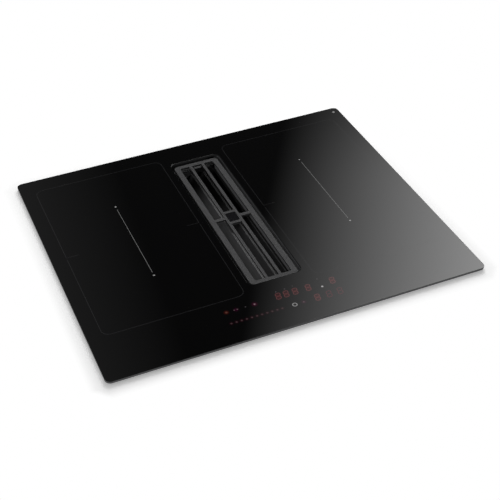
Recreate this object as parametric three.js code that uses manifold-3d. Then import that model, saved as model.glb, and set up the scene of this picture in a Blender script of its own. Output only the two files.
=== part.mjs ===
// Downdraft induction cooktop: a glass plate with four induction coils under it and a
// suction vent down its middle. The vent holds a lift-out grille, a grease filter and a
// drip tray. A pan under the glass holds coils and electronics, and an air box under the
// pan holds the blower and its duct outlet.
// Millimetres. +X right, +Y to the rear, +Z up. Origin: middle of the footprint, at the
// underside of the air box.

import * as THREE from 'three';
import { mergeVertices } from 'three/addons/utils/BufferGeometryUtils.js';
import Module from 'manifold-3d';

const wasm = await Module();
wasm.setup();

// ---------------------------------------------------------------- driving dimensions

// Glass plate and the whole unit
const glassWidth = 600;
const glassDepth = 510;
const glassThickness = 4;
const glassCornerRadius = 9;
const glassEdgeBevel = 0.6;
const overallHeight = 210;

// Vent cut-out in the glass
const ventWidth = 88;
const ventFrontInset = 107.5;
const ventRearInset = 51.5;
const ventCornerRadius = 10;

// Foam seal between glass and worktop, and the worktop itself
const sealThickness = 2;
const sealWidth = 9;
const sealInset = 6;
const cutoutSideLap = 20;
const cutoutEndLap = 15;
const worktopThickness = 38;

// Sheet-steel coil pan under the glass
const panClearance = 4;
const panHeight = 60;
const panSheet = 1.2;
const panCornerRadius = 6;

// Moulded vent frame under the cut-out
const framePocketStep = 1;
const frameWall = 2.5;
const frameFlangeWidth = 6;
const frameFlangeThickness = 2.5;
const frameLedgeThickness = 3;
const throatWidth = 56;
const throatFrontInset = 11.5;
const throatRearInset = 15.5;
const throatCornerRadius = 2;
const throatReach = 8;

// Lift-out grille
const grilleWidth = 79.2;
const grilleFrontGap = 1.9;
const grilleRearGap = 6.1;
const grilleSink = 3;
const grillePlate = 3;
const grilleCornerRadius = 7;
const grilleSideRim = 9.4;
const grilleEndRim = 8.1;
const grilleFlangeDepth = 6.7;
const grilleFlangeThickness = 3;
const grilleFlangeEndGap = 8;
const grilleBarSpacing = 22;
const grilleBarWidth = 4.8;
const grilleCrossbarWidth = 6.5;
const grilleBlockLength = 34;
const grilleBlockDrop = 1;
const inlayWidth = 17;
const inlayLength = 23;
const inlayThickness = 0.7;
const inlaySink = 0.3;

// Grease filter cassette
const filterSideGap = 0.5;
const filterHeight = 28;
const filterWall = 1.5;
const filterCornerRadius = 2;
const filterTopDepth = 13;
const filterRidgeSpacing = 20.6;
const filterRidgeDepth = 16.5;
const filterRidgeWidth = 3.4;
const filterValleyDrop = 17;
const filterEdgeDrop = 9;
const filterSheet = 1.2;
const filterLugWidth = 24;
const filterLugReach = 4;
const filterLugThickness = 1.6;
const pullTabWidth = 12;
const pullTabLip = 3.2;
const pullTabSheet = 1.2;
const pullTabTopDepth = 5.2;

// Drip tray at the bottom of the vent
const dripTraySideGap = 1;
const dripTrayHeight = 48;
const dripTrayWall = 1.5;
const dripTrayCornerRadius = 5;
const dripHandleWidth = 24;
const dripHandleThickness = 2;
const dripHandleTopGap = 12;
const dripFingerHoleWidth = 16;
const dripFingerHoleHeight = 14;

// Air box under the pan, with the blower and duct outlet
const airBoxWall = 2.5;
const airBoxLeftX = -100;
const airBoxFrontInset = 46;
const airBoxRearInset = 4;
const airBoxCornerRadius = 5;
const airBoxFlange = 6;
const airBoxSplitGap = 10;
const outletWidth = 222;
const outletHeight = 89;
const outletWall = 2;
const outletBottomZ = 5;
const outletLength = 20;
const outletFlange = 3;

// Blower
const impellerRadius = 75;
const impellerInnerRadius = 60;
const impellerBladeCount = 32;
const impellerBladeThickness = 1.4;
const impellerBladeSweep = 28;
const impellerPlate = 2;
const impellerFloorGap = 7.5;
const impellerTopGap = 6;
const scrollTongueGap = 9;
const scrollGrowth = 22;
const scrollWall = 2;
const scrollSideGap = 4;
const scrollTongueAngle = 50;
const blowerFrontInset = 150;
const inletRadius = 63;
const inletLip = 5;
const motorRadius = 38;
const motorHeight = 46;
const motorFlangeRadius = 45;
const motorFlangeThickness = 3;
const motorBossRadius = 11;
const motorBossHeight = 4;
const hubCupGap = 4;
const hubBossRadius = 9;
const hubBossHeight = 9;
const shaftRadius = 4;
const shaftRunningGap = 0.12;
const shaftDepth = 30;

// Induction coils, one under each end of the two cooking zones
const coilVentGap = 10.5;
const coilWallGap = 8;
const coilFrontInset = 78;
const coilRearInset = 17;
const coilGap = 9;
const coilCornerRadius = 62;
const coilHoleWidth = 66;
const coilHoleLength = 46;
const coilThickness = 5;
const micaThickness = 0.8;
const carrierThickness = 2;
const ferriteThickness = 4;
const ferriteWidth = 12;
const ferriteInset = 14;
const sensorRadius = 6;
const sensorFlangeRadius = 9;
const sensorFlangeThickness = 2;
const coilPlateThickness = 1.5;
const coilPlateInset = 3;
const coilPlateVentGap = 4;
const coilPlateLegWidth = 24;

// Power electronics, one set on each side of the vent
const boardThickness = 1.6;
const boardStandoff = 6.5;
const standoffRadius = 3.5;
const powerBoardSideInset = 7;
const powerBoardFanGap = 12;
const powerBoardRearInset = 92;
const heatSinkWidth = 62;
const heatSinkEndInset = 9;
const heatSinkHeight = 26;
const heatSinkBase = 4;
const heatSinkFinCount = 7;
const heatSinkFinThickness = 1.8;
const capacitorRadius = 11;
const capacitorHeight = 24;
const inductorSize = 26;
const inductorHeight = 20;
const fanHousingSize = 84;
const fanHousingHeight = 26;
const fanHousingWall = 2;
const fanRotorRadius = 33;
const fanRotorGap = 3;
const fanInletRadius = 29;
const fanBladeCount = 11;
const fanBladeThickness = 1.2;
const fanHubRadius = 13;
const fanSpindleRadius = 3;
const fanOutletWidth = 46;
const fanCoilInset = 80;
const panSlotCount = 7;
const panSlotWidth = 4;
const panSlotHeight = 22;
const panSlotPitch = 10;

// Mains connection at the rear left
const terminalBlockWidth = 54;
const terminalBlockDepth = 30;
const terminalBlockHeight = 18;
const terminalWallInset = 51;
const terminalCoverWall = 1.5;
const terminalCoverGap = 3;
const filterBoardWidth = 112;
const filterBoardDepth = 52;
const filterBoardOffset = 105;
const glandRadius = 11;
const glandBoreRadius = 5;
const glandThreadRadius = 8;
const glandLength = 13;
const glandNutLength = 4;
const glandHeight = 15;

// Touch controls under the front of the glass
const controlCentreX = -12;
const controlEdgeInset = 54;
const controlWidth = 236;
const controlDepth = 56;
const controlWall = 2;
const controlLegWidth = 14;
const touchBoardDrop = 6.4;
const lightGuideThickness = 2;
const controlTrayHeight = 12;

// Clamps that hold the unit to the worktop
const clampEndInset = 86;
const clampPlateWidth = 40;
const clampPlateHeight = 30;
const clampSheet = 2;
const clampArmReach = 20;
const clampArmWidth = 30;
const clampArmRise = 1;
const clampScrewRadius = 2.2;
const clampScrewInset = 8;
const clampHeadRadius = 5;
const clampHeadHeight = 4;
const clampPadRadius = 6.5;
const clampPadHeight = 3;
const clampScrewTail = 7;

// Fits
const touchGap = 0.3;
const holeGap = 0.4;
const arcSteps = 3;
const roundSides = 20;

// ---------------------------------------------------------------- levels and places

const glassTopZ = overallHeight;
const glassUnderZ = glassTopZ - glassThickness;
const worktopZ = glassUnderZ - sealThickness;
const cutoutWidth = glassWidth - 2 * cutoutSideLap;
const cutoutDepth = glassDepth - 2 * cutoutEndLap;
const panWidth = cutoutWidth - 2 * panClearance;
const panDepth = cutoutDepth - 2 * panClearance;
const panBottomZ = glassUnderZ - panHeight;
const panFloorZ = panBottomZ + panSheet;
const ventLength = glassDepth - ventFrontInset - ventRearInset;
const ventCentreY = (ventFrontInset - ventRearInset) / 2;

const grilleTopZ = glassTopZ - grilleSink;
const grilleUnderZ = grilleTopZ - grillePlate;
const grilleFootZ = grilleUnderZ - grilleFlangeDepth;
const ledgeZ = grilleFootZ - touchGap;
const grilleLength = ventLength - grilleFrontGap - grilleRearGap;
const grilleFrontY = ventCentreY - ventLength / 2 + grilleFrontGap;
const grilleCentreY = grilleFrontY + grilleLength / 2;
const throatLength = ventLength - throatFrontInset - throatRearInset;
const throatCentreY = ventCentreY + (throatFrontInset - throatRearInset) / 2;
const throatOuterWidth = throatWidth + 2 * frameWall;
const throatOuterLength = throatLength + 2 * frameWall;
const throatBottomZ = panBottomZ - throatReach;

const filterWidth = throatWidth - 2 * filterSideGap;
const filterLength = throatLength - 2 * filterSideGap;
const filterTopZ = glassTopZ - filterTopDepth - touchGap;
const filterBottomZ = filterTopZ - filterHeight;

const airBoxFloorZ = airBoxWall;
const airBoxTopZ = panBottomZ;
const airBoxFrontY = airBoxFrontInset - panDepth / 2;
const airBoxRearY = panDepth / 2 - airBoxRearInset;
const blowerCentreY = airBoxFrontY + blowerFrontInset;
const scrollMaxRadius = impellerRadius + scrollTongueGap + scrollGrowth;
const blowerCentreX = throatOuterWidth / 2 + scrollSideGap + scrollMaxRadius;
const outletRightX = blowerCentreX + scrollMaxRadius;
const outletLeftX = outletRightX - outletWidth;
const outletTopZ = outletBottomZ + outletHeight;
const airBoxRightX = outletRightX + outletFlange + airBoxWall;
const scrollRoofZ = outletTopZ - outletWall;
const scrollTopZ = scrollRoofZ + scrollWall;
const airBoxSplitZ = scrollTopZ + airBoxSplitGap;
const airBoxInnerRearY = airBoxRearY - airBoxWall;

const dripTrayWidth = throatWidth - 2 * dripTraySideGap;
const dripTrayLength = throatLength - 2 * dripTraySideGap;
const dripTrayBottomZ = airBoxFloorZ + touchGap;
const dripTrayTopZ = dripTrayBottomZ + dripTrayHeight;

const coilTopZ = glassUnderZ - micaThickness;
const coilBottomZ = coilTopZ - coilThickness;
const carrierBottomZ = coilBottomZ - carrierThickness;
const ferriteBottomZ = carrierBottomZ - ferriteThickness;
const coilPlateBottomZ = ferriteBottomZ - coilPlateThickness;
const boardBottomZ = panFloorZ + boardStandoff;
const boardTopZ = boardBottomZ + boardThickness;

const frameOuterWidth = ventWidth + 2 * (framePocketStep + frameWall);
const frameOuterLength = ventLength + 2 * (framePocketStep + frameWall);
const frameFlangeOuterX = frameOuterWidth / 2 + frameFlangeWidth;
const coilInnerX = frameFlangeOuterX + coilVentGap;
const coilOuterX = panWidth / 2 - coilWallGap;
const coilWidth = coilOuterX - coilInnerX;
const coilCentreX = (coilInnerX + coilOuterX) / 2;
const coilFrontY = coilFrontInset - panDepth / 2;
const coilRearY = panDepth / 2 - coilRearInset;
const coilLength = (coilRearY - coilFrontY - coilGap) / 2;
const coilPitchY = coilLength + coilGap;
const coilCentreY = (coilFrontY + coilRearY) / 2;
const fanCentreY = coilFrontY + fanCoilInset;
const powerBoardWidth = coilWidth - 2 * powerBoardSideInset;
const powerBoardFrontY = fanCentreY + fanHousingSize / 2 + powerBoardFanGap;
const powerBoardRearY = panDepth / 2 - powerBoardRearInset;
const powerBoardLength = powerBoardRearY - powerBoardFrontY;
const powerBoardCentreY = (powerBoardFrontY + powerBoardRearY) / 2;
const heatSinkLength = powerBoardLength - 2 * heatSinkEndInset;
const terminalX = terminalWallInset - panWidth / 2;
const filterBoardX = terminalX + filterBoardOffset;
const controlCentreY = controlEdgeInset - glassDepth / 2;
const coilPlateInnerX = frameFlangeOuterX + coilPlateVentGap;
const coilPlateOuterX = panWidth / 2 - panSheet - coilPlateInset;

// ---------------------------------------------------------------- solid helpers

function solidOf(geometry) {
  geometry.deleteAttribute('normal');
  geometry.deleteAttribute('uv');
  const merged = mergeVertices(geometry, 1e-4);
  const mesh = new wasm.Mesh({
    numProp: 3,
    vertProperties: Float32Array.from(merged.attributes.position.array),
    triVerts: Uint32Array.from(merged.index.array),
  });
  return new wasm.Manifold(mesh);
}

function geometryOf(solid) {
  const mesh = solid.getMesh();
  const geometry = new THREE.BufferGeometry();
  geometry.setAttribute('position', new THREE.BufferAttribute(mesh.vertProperties, 3));
  geometry.setIndex(new THREE.BufferAttribute(mesh.triVerts, 1));
  geometry.computeVertexNormals();
  return geometry;
}

function join(solids) {
  return solids.reduce((whole, solid) => whole.add(solid));
}

function cut(solid, tools) {
  return tools.reduce((rest, tool) => rest.subtract(tool), solid);
}

// Rectangle with round corners, centred on a point
function roundRect(width, length, radius, centreX = 0, centreY = 0) {
  const halfX = width / 2;
  const halfY = length / 2;
  const round = Math.min(radius, halfX * 0.98, halfY * 0.98);
  const shape = new THREE.Shape();
  shape.absarc(centreX + halfX - round, centreY - halfY + round, round, -Math.PI / 2, 0);
  shape.absarc(centreX + halfX - round, centreY + halfY - round, round, 0, Math.PI / 2);
  shape.absarc(centreX - halfX + round, centreY + halfY - round, round, Math.PI / 2, Math.PI);
  shape.absarc(centreX - halfX + round, centreY - halfY + round, round, Math.PI, Math.PI * 1.5);
  shape.closePath();
  return shape;
}

// Flat outline raised from one level to another
function raise(shape, bottomZ, topZ) {
  const geometry = new THREE.ExtrudeGeometry(shape, {
    depth: topZ - bottomZ,
    bevelEnabled: false,
    curveSegments: arcSteps,
  });
  geometry.translate(0, 0, bottomZ);
  return solidOf(geometry);
}

// The same with its top and bottom edges eased
function raiseEased(shape, bottomZ, topZ, bevel) {
  const geometry = new THREE.ExtrudeGeometry(shape, {
    depth: topZ - bottomZ - 2 * bevel,
    bevelThickness: bevel,
    bevelSize: bevel,
    bevelOffset: -bevel,
    bevelSegments: 1,
    curveSegments: arcSteps,
  });
  geometry.translate(0, 0, bottomZ + bevel);
  return solidOf(geometry);
}

function block(lowX, highX, lowY, highY, lowZ, highZ) {
  const geometry = new THREE.BoxGeometry(highX - lowX, highY - lowY, highZ - lowZ);
  geometry.translate((lowX + highX) / 2, (lowY + highY) / 2, (lowZ + highZ) / 2);
  return solidOf(geometry);
}

// Upright round post
function post(radius, centreX, centreY, bottomZ, topZ, sides = roundSides) {
  const geometry = new THREE.CylinderGeometry(radius, radius, topZ - bottomZ, sides);
  geometry.rotateX(Math.PI / 2);
  geometry.translate(centreX, centreY, (bottomZ + topZ) / 2);
  return solidOf(geometry);
}

// Round bar lying along Y
function barAlongY(radius, centreX, centreZ, lowY, highY, sides = roundSides) {
  const geometry = new THREE.CylinderGeometry(radius, radius, highY - lowY, sides);
  geometry.translate(centreX, (lowY + highY) / 2, centreZ);
  return solidOf(geometry);
}

function outlineFrom(points) {
  const shape = new THREE.Shape();
  points.forEach(([x, y], index) => (index === 0 ? shape.moveTo(x, y) : shape.lineTo(x, y)));
  shape.closePath();
  return shape;
}

// ---------------------------------------------------------------- materials

const finishes = {
  blackGlass: { color: 0x0b0c0e, roughness: 0.05, metalness: 0 },
  foam: { color: 0x1c1c1c, roughness: 0.95, metalness: 0 },
  blackPlastic: { color: 0x141414, roughness: 0.6, metalness: 0 },
  greyCoat: { color: 0x3e4042, roughness: 0.45, metalness: 0.4 },
  gloss: { color: 0x18191b, roughness: 0.15, metalness: 0 },
  steel: { color: 0x8f9092, roughness: 0.35, metalness: 1 },
  galvanised: { color: 0xa4a7aa, roughness: 0.45, metalness: 0.9 },
  aluminium: { color: 0xb9bbbd, roughness: 0.4, metalness: 0.9 },
  copper: { color: 0xb4693c, roughness: 0.4, metalness: 0.9 },
  mica: { color: 0xcbbf9f, roughness: 0.7, metalness: 0 },
  board: { color: 0x1d5a36, roughness: 0.5, metalness: 0 },
  whitePlastic: { color: 0xdcdcd6, roughness: 0.5, metalness: 0 },
  clearPlastic: { color: 0xc9d0d4, roughness: 0.2, metalness: 0 },
  greyPlastic: { color: 0x4a4d50, roughness: 0.6, metalness: 0 },
};

const cooktop = new THREE.Group();

function addPiece(name, finish, solid) {
  const material = new THREE.MeshStandardMaterial(finishes[finish]);
  const mesh = new THREE.Mesh(geometryOf(solid), material);
  mesh.name = name;
  cooktop.add(mesh);
}

// ---------------------------------------------------------------- glass and seal

function glassTop() {
  const plate = roundRect(glassWidth, glassDepth, glassCornerRadius);
  const vent = roundRect(ventWidth, ventLength, ventCornerRadius, 0, ventCentreY);
  plate.holes.push(vent);
  return raiseEased(plate, glassUnderZ, glassTopZ, glassEdgeBevel);
}

function glassSeal() {
  const width = glassWidth - 2 * sealInset;
  const depth = glassDepth - 2 * sealInset;
  const ring = roundRect(width, depth, glassCornerRadius);
  ring.holes.push(roundRect(width - 2 * sealWidth, depth - 2 * sealWidth, glassCornerRadius));
  return raise(ring, worktopZ, glassUnderZ);
}

addPiece('glass_top', 'blackGlass', glassTop());
addPiece('glass_seal', 'foam', glassSeal());

// ---------------------------------------------------------------- vent frame

function ventFrame() {
  const flange = roundRect(2 * frameFlangeOuterX, frameOuterLength + 2 * frameFlangeWidth,
    ventCornerRadius + frameWall + frameFlangeWidth, 0, ventCentreY);
  const body = roundRect(frameOuterWidth, frameOuterLength,
    ventCornerRadius + frameWall, 0, ventCentreY);
  const pocket = roundRect(ventWidth + 2 * framePocketStep, ventLength + 2 * framePocketStep,
    ventCornerRadius, 0, ventCentreY);
  const skirt = roundRect(throatOuterWidth, throatOuterLength,
    throatCornerRadius + frameWall, 0, throatCentreY);
  const throat = roundRect(throatWidth, throatLength, throatCornerRadius, 0, throatCentreY);
  const outside = join([
    raise(flange, glassUnderZ - frameFlangeThickness, glassUnderZ),
    raise(body, ledgeZ - frameLedgeThickness, glassUnderZ),
    raise(skirt, throatBottomZ, ledgeZ),
  ]);
  return cut(outside, [
    raise(pocket, ledgeZ, glassTopZ),
    raise(throat, throatBottomZ - 1, glassTopZ),
  ]);
}

addPiece('vent_frame', 'blackPlastic', ventFrame());

// ---------------------------------------------------------------- grille

function ventGrille() {
  const innerX = grilleWidth / 2 - grilleSideRim;
  const rearY = grilleFrontY + grilleLength;
  const innerFrontY = grilleFrontY + grilleEndRim;
  const innerRearY = rearY - grilleEndRim;
  const blockX = (grilleBarSpacing + grilleBarWidth) / 2;
  const rim = roundRect(grilleWidth, grilleLength, grilleCornerRadius, 0, grilleCentreY);
  const opening = roundRect(2 * innerX, innerRearY - innerFrontY, grilleCornerRadius / 2,
    0, grilleCentreY);
  const pieces = [
    raiseEased(rim, grilleUnderZ, grilleTopZ, 0.5).subtract(
      raise(opening, grilleUnderZ - 1, grilleTopZ + 1)),
    block(-innerX - 1, innerX + 1, grilleCentreY - grilleCrossbarWidth / 2,
      grilleCentreY + grilleCrossbarWidth / 2, grilleUnderZ, grilleTopZ),
    raise(roundRect(2 * blockX, grilleBlockLength, 1.5, 0, grilleCentreY),
      grilleUnderZ - grilleBlockDrop, grilleTopZ),
  ];
  for (const side of [-1, 1]) {
    const barX = side * grilleBarSpacing / 2;
    pieces.push(block(barX - grilleBarWidth / 2, barX + grilleBarWidth / 2,
      innerFrontY - 1, innerRearY + 1, grilleUnderZ, grilleTopZ));
    const flangeX = side * (innerX + grilleFlangeThickness / 2);
    pieces.push(block(flangeX - grilleFlangeThickness / 2, flangeX + grilleFlangeThickness / 2,
      innerFrontY + grilleFlangeEndGap, innerRearY - grilleFlangeEndGap,
      grilleFootZ, grilleUnderZ + 1));
  }
  const recess = roundRect(inlayWidth + 2 * touchGap, inlayLength + 2 * touchGap, 2,
    0, grilleCentreY);
  const recessZ = grilleTopZ - inlaySink - inlayThickness;
  return join(pieces).subtract(raise(recess, recessZ, grilleTopZ + 1));
}

function grilleInlay() {
  const plate = roundRect(inlayWidth, inlayLength, 2, 0, grilleCentreY);
  const topZ = grilleTopZ - inlaySink;
  return raise(plate, topZ - inlayThickness, topZ);
}

addPiece('vent_grille', 'greyCoat', ventGrille());
addPiece('grille_inlay', 'gloss', grilleInlay());

// ---------------------------------------------------------------- grease filter

// Four-sided frame that hangs in the throat on a lug at each end. The rear lug carries
// an upright pull tab with a folded lip.
function filterFrame() {
  const outer = roundRect(filterWidth, filterLength, filterCornerRadius, 0, throatCentreY);
  outer.holes.push(roundRect(filterWidth - 2 * filterWall, filterLength - 2 * filterWall,
    Math.max(filterCornerRadius - filterWall, touchGap), 0, throatCentreY));
  const rearY = throatCentreY + filterLength / 2;
  const frontY = throatCentreY - filterLength / 2;
  const lugTopZ = ledgeZ + touchGap + filterLugThickness;
  const lugX = filterLugWidth / 2;
  const tabX = pullTabWidth / 2;
  const tabTopZ = glassTopZ - pullTabTopDepth;
  const pieces = [raise(outer, filterBottomZ, filterTopZ)];
  for (const end of [-1, 1]) {
    const wallY = throatCentreY + end * (filterLength / 2 - filterWall / 2);
    pieces.push(block(-lugX, lugX, wallY - filterWall / 2, wallY + filterWall / 2,
      filterTopZ - 1, lugTopZ));
  }
  pieces.push(block(-lugX, lugX, rearY - filterWall, rearY + filterLugReach,
    lugTopZ - filterLugThickness, lugTopZ));
  pieces.push(block(-lugX, lugX, frontY - filterLugReach, frontY + filterWall,
    lugTopZ - filterLugThickness, lugTopZ));
  pieces.push(block(-tabX, tabX, rearY - filterWall, rearY - filterWall + pullTabSheet,
    lugTopZ - 1, tabTopZ));
  pieces.push(block(-tabX, tabX, rearY - filterWall - pullTabLip,
    rearY - filterWall + pullTabSheet, tabTopZ - pullTabSheet, tabTopZ));
  for (const share of [-0.3, 0, 0.3]) {
    const ribY = throatCentreY + share * filterLength;
    pieces.push(block(-filterWidth / 2 + filterWall / 2, filterWidth / 2 - filterWall / 2,
      ribY - filterWall, ribY + filterWall, filterBottomZ, filterBottomZ + filterWall));
  }
  return join(pieces);
}

// Folded sheet across the cassette: two ridges with valleys between and beside them
function filterBaffle() {
  const edgeX = filterWidth / 2 - filterWall - touchGap;
  const ridgeX = filterRidgeSpacing / 2;
  const crest = filterRidgeWidth / 2;
  const ridgeZ = glassTopZ - filterRidgeDepth;
  const valleyZ = ridgeZ - filterValleyDrop;
  const edgeZ = ridgeZ - filterEdgeDrop;
  const outerValleyX = (ridgeX + edgeX) / 2 + crest;
  const top = [
    [-edgeX, edgeZ],
    [-outerValleyX, valleyZ],
    [-ridgeX - crest, ridgeZ],
    [-ridgeX + crest, ridgeZ],
    [0, valleyZ],
    [ridgeX - crest, ridgeZ],
    [ridgeX + crest, ridgeZ],
    [outerValleyX, valleyZ],
    [edgeX, edgeZ],
  ];
  const under = top.map(([x, z]) => [x, z - filterSheet]).reverse();
  const section = outlineFrom([...top, ...under]);
  const length = filterLength - 2 * filterWall - 2 * touchGap;
  const geometry = new THREE.ExtrudeGeometry(section, { depth: length, bevelEnabled: false });
  geometry.rotateX(Math.PI / 2);
  geometry.translate(0, throatCentreY + length / 2, 0);
  return solidOf(geometry);
}

addPiece('grease_filter_frame', 'steel', filterFrame());
addPiece('grease_filter_baffle', 'steel', filterBaffle());

// ---------------------------------------------------------------- drip tray

function dripTray() {
  const outer = roundRect(dripTrayWidth, dripTrayLength, dripTrayCornerRadius,
    0, throatCentreY);
  const inner = roundRect(dripTrayWidth - 2 * dripTrayWall, dripTrayLength - 2 * dripTrayWall,
    dripTrayCornerRadius - dripTrayWall, 0, throatCentreY);
  const handleTopZ = filterBottomZ - dripHandleTopGap;
  const holeTopZ = handleTopZ - dripHandleThickness * 2;
  const pieces = [
    raise(outer, dripTrayBottomZ, dripTrayTopZ).subtract(
      raise(inner, dripTrayBottomZ + dripTrayWall, dripTrayTopZ + 1)),
  ];
  const holes = [];
  for (const end of [-1, 1]) {
    const outerY = throatCentreY + end * dripTrayLength / 2;
    const innerY = outerY - end * dripHandleThickness;
    const lowY = Math.min(outerY, innerY);
    const highY = Math.max(outerY, innerY);
    pieces.push(block(-dripHandleWidth / 2, dripHandleWidth / 2, lowY, highY,
      dripTrayBottomZ + dripTrayWall, handleTopZ));
    holes.push(block(-dripFingerHoleWidth / 2, dripFingerHoleWidth / 2, lowY - 1, highY + 1,
      holeTopZ - dripFingerHoleHeight, holeTopZ));
  }
  return cut(join(pieces), holes);
}

addPiece('drip_tray', 'blackPlastic', dripTray());

// ---------------------------------------------------------------- coil pan

function coilPan() {
  const outer = roundRect(panWidth, panDepth, panCornerRadius);
  const inner = roundRect(panWidth - 2 * panSheet, panDepth - 2 * panSheet,
    panCornerRadius - panSheet);
  const throatHole = roundRect(throatOuterWidth + 2 * holeGap, throatOuterLength + 2 * holeGap,
    throatCornerRadius + frameWall, 0, throatCentreY);
  const tools = [
    raise(inner, panFloorZ, glassUnderZ + 1),
    raise(throatHole, panBottomZ - 1, panFloorZ + 1),
    barAlongY(glandThreadRadius + holeGap, terminalX, panFloorZ + glandHeight,
      panDepth / 2 - panSheet - 1, panDepth / 2 + 1),
  ];
  const slotZ = panFloorZ + fanHousingHeight / 2;
  for (const side of [-1, 1]) {
    for (let slot = 0; slot < panSlotCount; slot += 1) {
      const slotY = fanCentreY + (slot - (panSlotCount - 1) / 2) * panSlotPitch;
      const wallX = side * panWidth / 2;
      tools.push(block(wallX - 2 * panSheet, wallX + 2 * panSheet,
        slotY - panSlotWidth / 2, slotY + panSlotWidth / 2,
        slotZ - panSlotHeight / 2, slotZ + panSlotHeight / 2));
    }
  }
  return cut(raise(outer, panBottomZ, glassUnderZ), tools);
}

addPiece('coil_pan', 'galvanised', coilPan());

// ---------------------------------------------------------------- induction coils

function coilWinding(centreX, centreY) {
  const ring = roundRect(coilWidth, coilLength, coilCornerRadius, centreX, centreY);
  ring.holes.push(roundRect(coilHoleWidth, coilHoleLength, coilHoleLength * 0.45,
    centreX, centreY));
  return raise(ring, coilBottomZ, coilTopZ);
}

function micaSheet(centreX, centreY) {
  return raise(roundRect(coilWidth, coilLength, coilCornerRadius / 3, centreX, centreY),
    coilTopZ, glassUnderZ);
}

// Carrier plate with six ferrite bars glued under it and a hole for the sensor
function coilCarrier(centreX, centreY) {
  const plate = roundRect(coilWidth, coilLength, coilCornerRadius, centreX, centreY);
  const pieces = [raise(plate, carrierBottomZ, coilBottomZ)];
  const barReachX = coilWidth / 2 - ferriteInset;
  const barReachY = coilLength / 2 - ferriteInset;
  const startX = coilHoleWidth / 2;
  const startY = coilHoleLength / 2;
  for (const side of [-1, 1]) {
    const lowX = Math.min(side * startX, side * barReachX);
    const highX = Math.max(side * startX, side * barReachX);
    pieces.push(block(centreX + lowX, centreX + highX, centreY - ferriteWidth / 2,
      centreY + ferriteWidth / 2, ferriteBottomZ, carrierBottomZ + 0.5));
    const lowY = Math.min(side * startY, side * barReachY);
    const highY = Math.max(side * startY, side * barReachY);
    for (const column of [-1, 1]) {
      const barX = centreX + column * coilHoleWidth / 2;
      pieces.push(block(barX - ferriteWidth / 2, barX + ferriteWidth / 2,
        centreY + lowY, centreY + highY, ferriteBottomZ, carrierBottomZ + 0.5));
    }
  }
  const sensorHole = post(sensorRadius + holeGap, centreX, centreY,
    ferriteBottomZ - 1, coilBottomZ + 1);
  return join(pieces).subtract(sensorHole);
}

// Spring-loaded temperature probe that touches the sheet under the glass
function temperatureSensor(centreX, centreY) {
  const footZ = coilPlateBottomZ + coilPlateThickness;
  return join([
    post(sensorFlangeRadius, centreX, centreY, footZ, footZ + sensorFlangeThickness),
    post(sensorRadius, centreX, centreY, footZ, coilTopZ),
  ]);
}

for (const [sideName, side] of [['left', -1], ['right', 1]]) {
  for (const [endName, end] of [['front', -1], ['rear', 1]]) {
    const centreX = side * coilCentreX;
    const centreY = coilCentreY + end * coilPitchY / 2;
    const place = `${endName}_${sideName}`;
    addPiece(`coil_${place}`, 'copper', coilWinding(centreX, centreY));
    addPiece(`mica_sheet_${place}`, 'mica', micaSheet(centreX, centreY));
    addPiece(`coil_carrier_${place}`, 'greyPlastic', coilCarrier(centreX, centreY));
    addPiece(`temperature_sensor_${place}`, 'whitePlastic',
      temperatureSensor(centreX, centreY));
  }
}

// Aluminium plate that carries the two coils of one side, on four folded legs
function coilPlate(side) {
  const length = coilPitchY + coilLength;
  const lowX = Math.min(side * coilPlateInnerX, side * coilPlateOuterX);
  const highX = Math.max(side * coilPlateInnerX, side * coilPlateOuterX);
  const lowY = coilCentreY - length / 2;
  const highY = coilCentreY + length / 2;
  const topZ = coilPlateBottomZ + coilPlateThickness;
  const pieces = [block(lowX, highX, lowY, highY, coilPlateBottomZ, topZ)];
  for (const legX of [lowX, highX - coilPlateThickness]) {
    for (const legY of [lowY, highY - coilPlateLegWidth]) {
      pieces.push(block(legX, legX + coilPlateThickness, legY, legY + coilPlateLegWidth,
        panFloorZ, topZ));
    }
  }
  return join(pieces);
}

addPiece('coil_plate_left', 'aluminium', coilPlate(-1));
addPiece('coil_plate_right', 'aluminium', coilPlate(1));

// ---------------------------------------------------------------- power electronics

// Circuit board on four spacers
function standingBoard(width, length, centreX, centreY) {
  const lowX = centreX - width / 2;
  const highX = centreX + width / 2;
  const lowY = centreY - length / 2;
  const highY = centreY + length / 2;
  const inset = standoffRadius + 2;
  const pieces = [block(lowX, highX, lowY, highY, boardBottomZ, boardTopZ)];
  for (const x of [lowX + inset, highX - inset]) {
    for (const y of [lowY + inset, highY - inset]) {
      pieces.push(post(standoffRadius, x, y, panFloorZ, boardBottomZ + 0.5, 10));
    }
  }
  return pieces;
}

function powerBoard(side) {
  const centreX = side * coilCentreX;
  const pieces = standingBoard(powerBoardWidth, powerBoardLength, centreX, powerBoardCentreY);
  const rowX = centreX - side * (heatSinkWidth / 2 + capacitorRadius + 8);
  for (const row of [-1, 0, 1]) {
    pieces.push(post(capacitorRadius, rowX, powerBoardCentreY + row * (2 * capacitorRadius + 8),
      boardTopZ - 0.5, boardTopZ + capacitorHeight, 16));
  }
  const inductorX = centreX + side * (heatSinkWidth / 2 + inductorSize / 2 + 6);
  for (const row of [-1, 1]) {
    const inductorY = powerBoardCentreY + row * inductorSize;
    pieces.push(block(inductorX - inductorSize / 2, inductorX + inductorSize / 2,
      inductorY - inductorSize / 2, inductorY + inductorSize / 2,
      boardTopZ - 0.5, boardTopZ + inductorHeight));
  }
  return join(pieces);
}

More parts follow.
